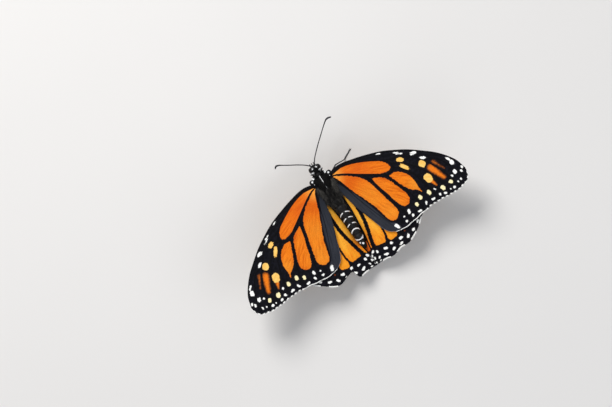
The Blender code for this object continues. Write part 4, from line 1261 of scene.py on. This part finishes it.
# pieces of the body's coat: how many locks, the seed of their draws, the stretch of the body they
# cover, how steeply they start, how far they bend back, and how long they are on white spots
NECK, WAIST, MIDDLE = 1.55, 11.5, 21.0
HEAD_COAT = dict(count=56000, seed=11, low=-9, high=NECK, sizes=head_hair, lift=0.5, curl=0.3,
                 white_length=0.3)
CHEST_COAT = dict(count=40000, seed=12, low=NECK, high=WAIST, sizes=chest_hair, lift=0.5,
                  curl=0.42, white_length=0.42, below=False)
ABDOMEN_COAT = dict(sizes=abdomen_hair, lift=0.16, curl=0.12, white_length=0.26)
COATS = {"head_coat": HEAD_COAT,
         "chest_coat": CHEST_COAT,
         "breast_coat": dict(CHEST_COAT, count=44000, seed=14, below=True),
         "waist_coat": dict(ABDOMEN_COAT, count=26000, seed=13, low=WAIST, high=MIDDLE),
         "tail_coat": dict(ABDOMEN_COAT, count=30000, seed=15, low=MIDDLE, high=60)}


def coat_piece(name, skin, count, seed, low, high, sizes, lift, curl, white_length, below=None):
    """Hair on one stretch of the body, lying to the rear, and white where the skin is white."""
    def keep(place):
        back, rise = lie(place)[1:]
        half = True if below is None else (rise < -0.2) == below
        return (back >= low) & (back < high) & half

    root, up, random = scatter(skin, count, seed, keep)
    x, back, rise = lie(root)
    length, width = sizes(x, back, rise)
    length = length * (0.7 + 0.6 * random.random(len(root)))
    white = body_white(x, back + white_length * 0.4, rise) > 0.5
    covers = [body_white(x, back + length * part, rise) > 0.5 for part in COVER_PARTS]
    length = np.where(np.any(covers, axis=0), np.minimum(length, white_length), length)
    lift = lift * (0.6 + 0.8 * random.random(len(root))) * np.where(white, 0.5, 1.0)
    width = np.where(white, np.maximum(width, WHITE_HAIR_WIDTH), width)
    face = eased(-back, 0.6, 1.6)
    lay = body_direction(0.22 * np.sign(x) * (np.abs(x) > 0.3), 1.0 - 1.1 * face, -1.0 * face)
    return grow(name, root - up * HAIR_DEPTH * MM, up, lay, length, width, lift, curl,
                round_map(*round_body(x, back, rise)), seed + 50,
                white=white.astype(float), grey=body_grey(x, back))


def build_coat(skin):
    """The body's coat, in pieces small enough for their files."""
    finish = coat_finish("body_hair", (0.002, 0.002, 0.003), (0.007, 0.0068, 0.007), SMOKY_GREY,
                         (0.95, 0.96, 0.99))
    for name, coat in COATS.items():
        piece = coat_piece(name, skin, **coat)
        piece.data.materials.append(finish)
        hand_in(piece, "body")


def wing_up(side):
    """The way out of a wing's upper face, which is spread upwards."""
    return body_direction(-side * math.sin(DIHEDRAL), 0.0, math.cos(DIHEDRAL))


# patches of hair on the wings: (wing, how many, share of the wing outwards, from where across it)
HAIR_PATCHES = (("forewing", 1200, 0.045, 0.35), ("hindwing", 700, 0.07, 0.3),
                ("hindwing", 400, 0.3, 0.98))


def build_wing_hair():
    """Long smoky hair lying back over the wing bases and down the hind wings' inner edges."""
    random = np.random.default_rng(31)
    parts = []
    for side in (LEFT, RIGHT):
        for kind, count, out, across in HAIR_PATCHES:
            u = out * random.random(count) ** 1.2
            v = 1 - (1 - across) * random.random(count)
            plan, body = wing_points(kind, side, u, v)
            root = stand(side, *body.T)
            up = np.broadcast_to(wing_up(side), root.shape)
            lay = np.broadcast_to(body_direction(side * 0.02, 1.0, 0.0), root.shape)
            fall = 1 - eased(plan[:, 1], 11, 20)
            length = (0.6 + 2.0 * fall) * (0.6 + 0.7 * random.random(count))
            parts.append((root + up * 0.03 * MM, up, lay, length, side * body[:, 0], body[:, 1],
                          body[:, 2]))
    root, up, lay, length, x, back, rise = (np.concatenate(column) for column in zip(*parts))
    count = len(root)
    piece = grow("wing_base_hair", root, up, lay, length, HAIR_WIDTH,
                 0.08 + 0.25 * random.random(count), 0.2, round_map(*round_body(x, back, rise)),
                 77, white=0.0, grey=random.random(count) ** 0.7 * (0.3 + 0.7 * grey_ridge(x)))
    piece.data.materials.append(coat_finish("smoky_hair", (0.004, 0.004, 0.005),
                                            (0.014, 0.013, 0.013), SMOKY_GREY, (0.8, 0.8, 0.8)))
    hand_in(piece, "body")


VANES, REAR_VANES = 1300, 260    # scale vanes along a margin, and on a forewing's rear edge
WHITE_VANE, BLACK_VANE, VANE_WIDTH = 0.6, 0.32, 0.055
VANE_OVERLAP = 0.12              # how far in from the margin the vanes start
CHECK_LENGTH = 1.95              # of one white and one black stretch of a forewing's fringe
CHECKS_END = 0.62                # share of the forewing's margin past which it is all white
WORN = (8.6, 15.4)               # where the worn hind wing has lost its white vanes, in out
VEIN_GAP = 1.6                   # how far from a vein's end the hind wing's fringe turns white


def fringe_white(kind, side, plan, u, v):
    """Which vanes of a fringe are white."""
    if kind == "forewing":
        run = np.r_[0, np.cumsum(np.linalg.norm(np.diff(plan, axis=0), axis=1))]
        check = (np.sin(run * 2 * math.pi / CHECK_LENGTH + 0.6) > 0.05) & (run > 1.5)
        return (check | (v > CHECKS_END)) & (u == 1)
    ends = np.array([line[-1] for line in HINDWING_VEINS.values()])
    near = np.min(np.linalg.norm(plan[:, None] - ends[None], axis=2), axis=1)
    worn = (side == LEFT) & (plan[:, 0] > WORN[0]) & (plan[:, 0] < WORN[1])
    return (near > VEIN_GAP) & (v < 0.985) & ~worn


def build_fringe(kind, side, word, finish):
    """Scale vanes along a wing's margin and, on a forewing, along its rear edge."""
    random = np.random.default_rng(900 + side + len(kind) * 3)
    along = np.linspace(0, 1, VANES) + random.normal(0, 0.0004, VANES)
    rear = np.linspace(0.5, 1, REAR_VANES if kind == "forewing" else 0)
    v = np.r_[along.clip(0, 1), np.ones(len(rear))]
    u = np.r_[np.ones(len(along)), rear]
    inward = np.r_[np.zeros(len(along)), np.full(len(rear), 0.03)]
    plan, body = wing_points(kind, side, u, v)
    inner = wing_points(kind, side, u - 0.02 * (inward == 0), v - inward)[1]
    white = fringe_white(kind, side, plan, u, v)
    root = stand(side, *body.T)
    lay = root - stand(side, *inner.T)
    start = root - lay / np.linalg.norm(lay, axis=1)[:, None] * VANE_OVERLAP * MM
    length = np.where(white, WHITE_VANE, BLACK_VANE) * (0.75 + 0.5 * random.random(len(root)))
    length = length * (1 - 0.3 * (v > CHECKS_END) * (kind == "forewing"))
    low, high = root.min(0), root.max(0)
    uv = 0.04 + 0.92 * ((root - low) / (high - low))[:, :2]
    # the vanes of a forewing's rear edge turn bluish grey towards the tornus: a painted highlight on
    # that rim
    piece = grow(f"{kind}_{word}_fringe", start, np.broadcast_to(wing_up(side), root.shape), lay,
                 length, VANE_WIDTH, 0.1 * random.standard_normal(len(root)), 0.0, uv, 500,
                 white=white.astype(float), grey=(u < 1) * eased(u, 0.5, 0.95))
    piece.data.materials.append(finish)
    hand_in(piece, kind)


def build_fringes():
    """Fringes of the four wings: white between the veins, black at their ends."""
    # the pale blue grey is a painted highlight on the forewings' rear edges
    finish = coat_finish("fringe_scales", (0.004, 0.004, 0.005), (0.014, 0.014, 0.016),
                         (0.22, 0.25, 0.32), (0.95, 0.95, 0.93), 0.6)
    for side, word in SIDES:
        for kind in WINGS:
            build_fringe(kind, side, word, finish)


# ---------------------------------------------------------------- eyes, feelers, tongue
EYE_CENTRE, EYE_RADII = (1.56, -0.35, -0.22), (0.96, 1.2, 1.26)
# the feelers, as (out, back, rise)
ANTENNAE = {RIGHT: [(0.72, -1.7, 1.3), (1.0, -2.2, 1.65), (2.3, -3.9, 2.1), (5.5, -7.0, 2.9),
                    (8.8, -9.9, 3.6), (12.6, -13.1, 4.2), (14.1, -13.8, 4.2), (15.7, -13.5, 4.0)],
            LEFT: [(0.72, -1.7, 1.3), (1.0, -2.1, 1.8), (2.4, -3.4, 3.2), (5.0, -5.1, 6.0),
                   (7.8, -6.7, 8.6), (10.6, -8.4, 10.7), (11.9, -8.7, 11.2), (12.7, -8.0, 11.1)]}
ANTENNA_STEPS, ANTENNA_RINGS, ANTENNA_RING_SWELL = 260, 44, 0.09
ANTENNA_STATIONS = (0, 0.02, 0.05, 0.74, 0.84, 0.93, 0.98, 1.0)     # shares of its length
ANTENNA_RADII = (0.27, 0.27, 0.2, 0.19, 0.24, 0.36, 0.29, 0.12)     # at the stations
# the tongue, its places as (back, rise)
TONGUE_ROOT, COIL_CENTRE = (-1.4, -1.3), (-1.75, -3.3)
COIL_RADIUS, COIL_SHRINKS, COIL_TURNS, COIL_STEPS, ROOT_STEPS = 1.3, 1.0, 2.9, 240, 6


def eye_lens():
    """Near black and faceted, with a soft shine."""
    f = Finish("eye_lens")
    facets = f.cells(f.place(), 26.0, feature="SMOOTH_F1")
    depth = f.noise(f.place(), 1.2, 2.0)
    return f.set(Base_Color=f.mix(depth, (0.002, 0.0016, 0.0016), (0.009, 0.006, 0.005)),
                 Roughness=f.ramp(depth, 0.2, 0.8, 0.24, 0.36), Normal=f.bump(facets, 0.012 * MM),
                 Specular_IOR_Level=0.2)


def build_eyes():
    """Two squashed balls, one at each side of the head."""
    finish = eye_lens()
    for side, word in SIDES:
        eye = ball(EYE_CENTRE, EYE_RADII, side)
        eye.name = eye.data.name = f"eye_{word}_lens"
        apply_modifier(eye, "SUBSURF", levels=1, render_levels=1)
        face_outwards()
        eye.data.materials.append(finish)
        hand_in(eye, "eye", f"eye_{word}")


def feeler_shell():
    """Blue-black and finely grained."""
    f = Finish("feeler_shell")
    mottle = f.noise(f.place(), 5.0, 3.0)
    return f.set(Base_Color=f.mix(mottle, (0.003, 0.003, 0.006), (0.012, 0.012, 0.020)),
                 Specular_IOR_Level=0.3, Roughness=f.ramp(mottle, 0.3, 0.7, 0.38, 0.55),
                 Normal=f.bump(f.noise(f.place(), 14.0), 0.02 * MM))


def build_feelers():
    """Two ringed rods, each with a socket at its root and a club at its end."""
    finish = feeler_shell()
    for side, word in SIDES:
        path = smooth_path(ANTENNAE[side], ANTENNA_STEPS)
        t = np.linspace(0, 1, ANTENNA_STEPS)
        rings = 1 + ANTENNA_RING_SWELL * np.cos(t * 2 * math.pi * ANTENNA_RINGS)
        radii = np.interp(t, ANTENNA_STATIONS, ANTENNA_RADII) * rings
        feeler = rod(f"feeler_{word}", [(stand(side, *path.T), radii)], sides=10)
        feeler.data.materials.append(finish)
        hand_in(feeler, "antenna", f"antenna_{word}")


def tongue_shell():
    """Dark brown with a soft shine."""
    f = Finish("tongue_shell")
    bands = f.noise(f.place(), 6.0, 3.0)
    return f.set(Base_Color=f.mix(bands, (0.012, 0.006, 0.004), (0.06, 0.03, 0.016)),
                 Roughness=f.ramp(bands, 0.3, 0.7, 0.3, 0.5))


def build_tongue():
    """A ribbed rod that comes down from between the palps and coils up under the head."""
    t = np.linspace(0, 1, COIL_STEPS)
    angle = math.pi * 0.42 + 2 * math.pi * COIL_TURNS * t
    radius = COIL_RADIUS - COIL_SHRINKS * t
    back = COIL_CENTRE[0] - radius * np.cos(angle)
    rise = COIL_CENTRE[1] + radius * np.sin(angle)
    down_back = np.linspace(TONGUE_ROOT[0], back[0], ROOT_STEPS + 1)[:-1]
    down_rise = np.linspace(TONGUE_ROOT[1], rise[0], ROOT_STEPS + 1)[:-1]
    path = stand(1, 0.0, np.r_[down_back, back], np.r_[down_rise, rise])
    ribs = 1 + 0.05 * np.cos(np.arange(COIL_STEPS) * 1.6)
    radii = np.r_[np.full(ROOT_STEPS, 0.19), np.linspace(0.18, 0.1, COIL_STEPS) * ribs]
    coil = rod("tongue", [(path, radii)], sides=10)
    coil.data.materials.append(tongue_shell())
    hand_in(coil, "mouthpart", "proboscis")


# ---------------------------------------------------------------- legs
# hip and knee as (out, back, rise), ankle and toe as (out, back); the feet are on the floor
LEG_PLAN = {
    "mid_right": [(2.65, 5.6, -2.95), (7.4, 2.6, -2.2), (11.3, 2.0), (15.4, -0.2)],
    "mid_left": [(2.65, 5.9, -2.95), (7.6, 5.2, -2.0), (11.2, 5.4), (15.2, 7.6)],
    "hind_right": [(2.35, 9.2, -2.95), (6.4, 15.2, -1.6), (8.6, 21.6), (11.2, 27.2)],
    "hind_left": [(2.35, 9.2, -2.95), (6.6, 14.8, -1.7), (9.2, 20.8), (12.2, 26.2)],
}
LEG_PARTS = ("femur", "tibia", "tarsus")
THIGH_RADII = [0.24, 0.33, 0.37, 0.36, 0.31, 0.25, 0.22]
SHIN_RADII = [0.23, 0.2, 0.21, 0.2, 0.18, 0.19]
THIGH_BOW, SHIN_BOW = 0.35, 0.2
HIP_OVERLAP = 0.08               # how far a thigh runs on into its hip, as a share of its length
ANKLE_HEIGHT, FOOT_HEIGHT, TOE_HEIGHT = 0.85, 0.19, 0.17
FOOT_JOINTS = (0.42, 0.6, 0.74, 0.86, 1.0)   # where its five joints end, as shares of its length
CLAW_RADII, SPUR_RADII, SPINE_RADII = [0.06, 0.045, 0.02], [0.05, 0.04, 0.012], [0.035, 0.025, 0.01]
SHIN_SPINES, FOOT_SPINES = 16, 30
FORELEG_PATH = [(1.2, 3.6, -2.75), (1.75, 2.0, -3.25), (1.8, 0.4, -2.95), (1.7, -0.2, -2.45)]
FORELEG_RADII = [0.26, 0.3, 0.27, 0.24, 0.26, 0.2, 0.1]
LEG_LOCKS, FORELEG_LOCKS, FORELEG_BRUSH = 1050, 700, 1.7
LEG_SCALE_WIDTH = 0.035
FLOOR_GAP = 0.01                 # scales stay this far above the floor
UP = np.array([0, 0, 1.0])


def foot_radii(t):
    """Radius along a foot: each joint swells to its end, where it is nipped in."""
    radii = np.zeros(len(t))
    last = 0.0
    for joint in FOOT_JOINTS:
        inside = (t >= last) & (t <= joint)
        share = (t[inside] - last) / (joint - last)
        radii[inside] = 0.13 + 0.05 * share ** 0.7 - 0.04 * (share > 0.96)
        last = joint
    return radii


def claws_and_spurs(ankle, toe):
    """Two curved claws at the toe and two straight spurs at the ankle, as strands."""
    ahead = (toe - ankle) / np.linalg.norm(toe - ankle)
    beside = np.cross(ahead, UP)
    s = np.linspace(0, 1, 9)[:, None]
    strands = []
    for turn in (-1, 1):
        claw = toe + ahead * (0.05 + 0.5 * s) * MM + beside * turn * 0.32 * MM * np.sin(s * 1.5)
        claw[:, 2] = (TOE_HEIGHT + 0.1 * np.sin(s[:, 0] * math.pi) - 0.12 * s[:, 0] ** 2) * MM
        spur = ankle + (ahead * 0.55 - UP * 0.35 + beside * turn * 0.3) * s * MM
        strands += [(claw, CLAW_RADII), (spur, SPUR_RADII)]
    return strands


def spines(limb, count, random):
    """Short spines that point outwards and ahead on either side of a limb, as strands."""
    strands = []
    for k in np.linspace(4, len(limb) - 3, count).astype(int):
        way = limb[k + 1] - limb[k]
        way = way / np.linalg.norm(way)
        out = np.cross(way, UP) * random.choice((-1, 1)) * 0.9 - UP * 0.25
        base = limb[k] + out * 0.1 * MM
        end = base + (way * 0.35 + out * 0.25) * MM
        end[2] = max(end[2], 0.02 * MM)
        strands.append((np.linspace(base, end, 4), SPINE_RADII))
    return strands


def build_leg(word, plan):
    """Thigh, shin and a five-jointed foot with spines and two claws, the foot on the floor."""
    side = LEFT if word.endswith("left") else RIGHT
    random = np.random.default_rng(len(word) + side + 40)
    hip, knee = stand(side, *plan[0]), stand(side, *plan[1])
    ankle = np.array([side * plan[2][0], plan[2][1] - ORIGIN_BACK, ANKLE_HEIGHT]) * MM
    toe = np.array([side * plan[3][0], plan[3][1] - ORIGIN_BACK, TOE_HEIGHT]) * MM
    t = np.linspace(0, 1, 40)[:, None]
    inner = hip + (hip - knee) * HIP_OVERLAP
    thigh = inner + (knee - inner) * t + UP * THIGH_BOW * MM * np.sin(math.pi * t)
    shin = knee + (ankle - knee) * t + UP * SHIN_BOW * MM * np.sin(math.pi * t)
    foot_t = np.linspace(0, 1, 90)
    foot = ankle + (toe - ankle) * foot_t[:, None]
    foot[:, 2] = (FOOT_HEIGHT + (ANKLE_HEIGHT - FOOT_HEIGHT) * np.exp(-foot_t * 14)) * MM
    strands = [(thigh, THIGH_RADII), (shin, SHIN_RADII), (foot, foot_radii(foot_t))]
    strands += claws_and_spurs(ankle, toe)
    strands += spines(shin, SHIN_SPINES, random) + spines(foot, FOOT_SPINES, random)
    return rod(f"leg_{word}", strands, sides=8)


def leg_shell():
    """Black with a cold sheen, pitted all over."""
    f = Finish("leg_shell")
    mottle = f.noise(f.place(), 4.0, 4.0, 0.6)
    return f.set(Base_Color=f.mix(mottle, (0.004, 0.004, 0.007), (0.022, 0.022, 0.032)),
                 Roughness=f.ramp(mottle, 0.3, 0.7, 0.32, 0.5),
                 Normal=f.bump(f.cells(f.place(9 / MM, 9 / MM, 9 / MM), 1.0), 0.02 * MM))


def build_leg_coat(legs):
    """Small scales on all the legs, brushier on the forelegs, a few of them white."""
    parts = []
    for place, leg in enumerate(legs):
        short = leg.name.startswith("fore")
        brush = FORELEG_BRUSH if short else 1.0
        root, up, random = scatter(leg, FORELEG_LOCKS if short else LEG_LOCKS, 60 + place,
                                   lambda spot: spot[:, 2] > 0.1 * MM)
        x = root[:, 0]
        lay = body_direction(np.sign(x) * 0.6, 0.3, -0.4)
        away = np.linalg.norm(root - root[np.argmin(np.abs(x))], axis=1)
        around = np.arctan2(up[:, 0], up[:, 2]) / (2 * math.pi) + 0.5
        strip = np.stack([(place + 0.1 + 0.8 * around) / len(legs),
                          0.04 + 0.92 * away / away.max()], 1)
        length = brush * (0.16 + 0.14 * random.random(len(root)))
        white = (random.random(len(root)) < 0.12 * brush).astype(float)
        parts.append((root, up, lay, length, white, strip))
    root, up, lay, length, white, strip = (np.concatenate(column) for column in zip(*parts))
    piece = grow("leg_coat", root, up, lay, length, LEG_SCALE_WIDTH, 0.35, 0.2, strip, 66,
                 white=white, grey=0.0)
    locks = places(piece.data).reshape(len(root), -1, 3)
    locks[:, :, 2] += np.maximum(FLOOR_GAP * MM - locks[:, :, 2].min(1), 0)[:, None]
    move_to(piece.data, locks.reshape(-1, 3))
    piece.data.materials.append(coat_finish("leg_scales", (0.005, 0.005, 0.007),
                                            (0.03, 0.03, 0.036), (0.07, 0.07, 0.08),
                                            (0.75, 0.76, 0.78)))
    hand_in(piece, "leg")


def build_legs():
    """Four walking legs, the two small forelegs folded under the head, and their coat."""
    finish = leg_shell()
    legs = []
    for word, plan in LEG_PLAN.items():
        leg = build_leg(word, plan)
        leg.data.materials.append(finish)
        legs.append(hand_in(leg, "leg", *(f"{word}_{part}" for part in LEG_PARTS)))
    for side, word in SIDES:
        path = stand(side, *smooth_path(FORELEG_PATH, 40).T)
        leg = rod(f"foreleg_{word}", [(path, FORELEG_RADII)], sides=10)
        leg.data.materials.append(finish)
        legs.append(hand_in(leg, "leg", f"fore_{word}_leg"))
    build_leg_coat(legs)


build_wings()
body = build_skin()
build_coat(body)
build_wing_hair()
build_fringes()
build_eyes()
build_feelers()
build_tongue()
build_legs()
set_stage()
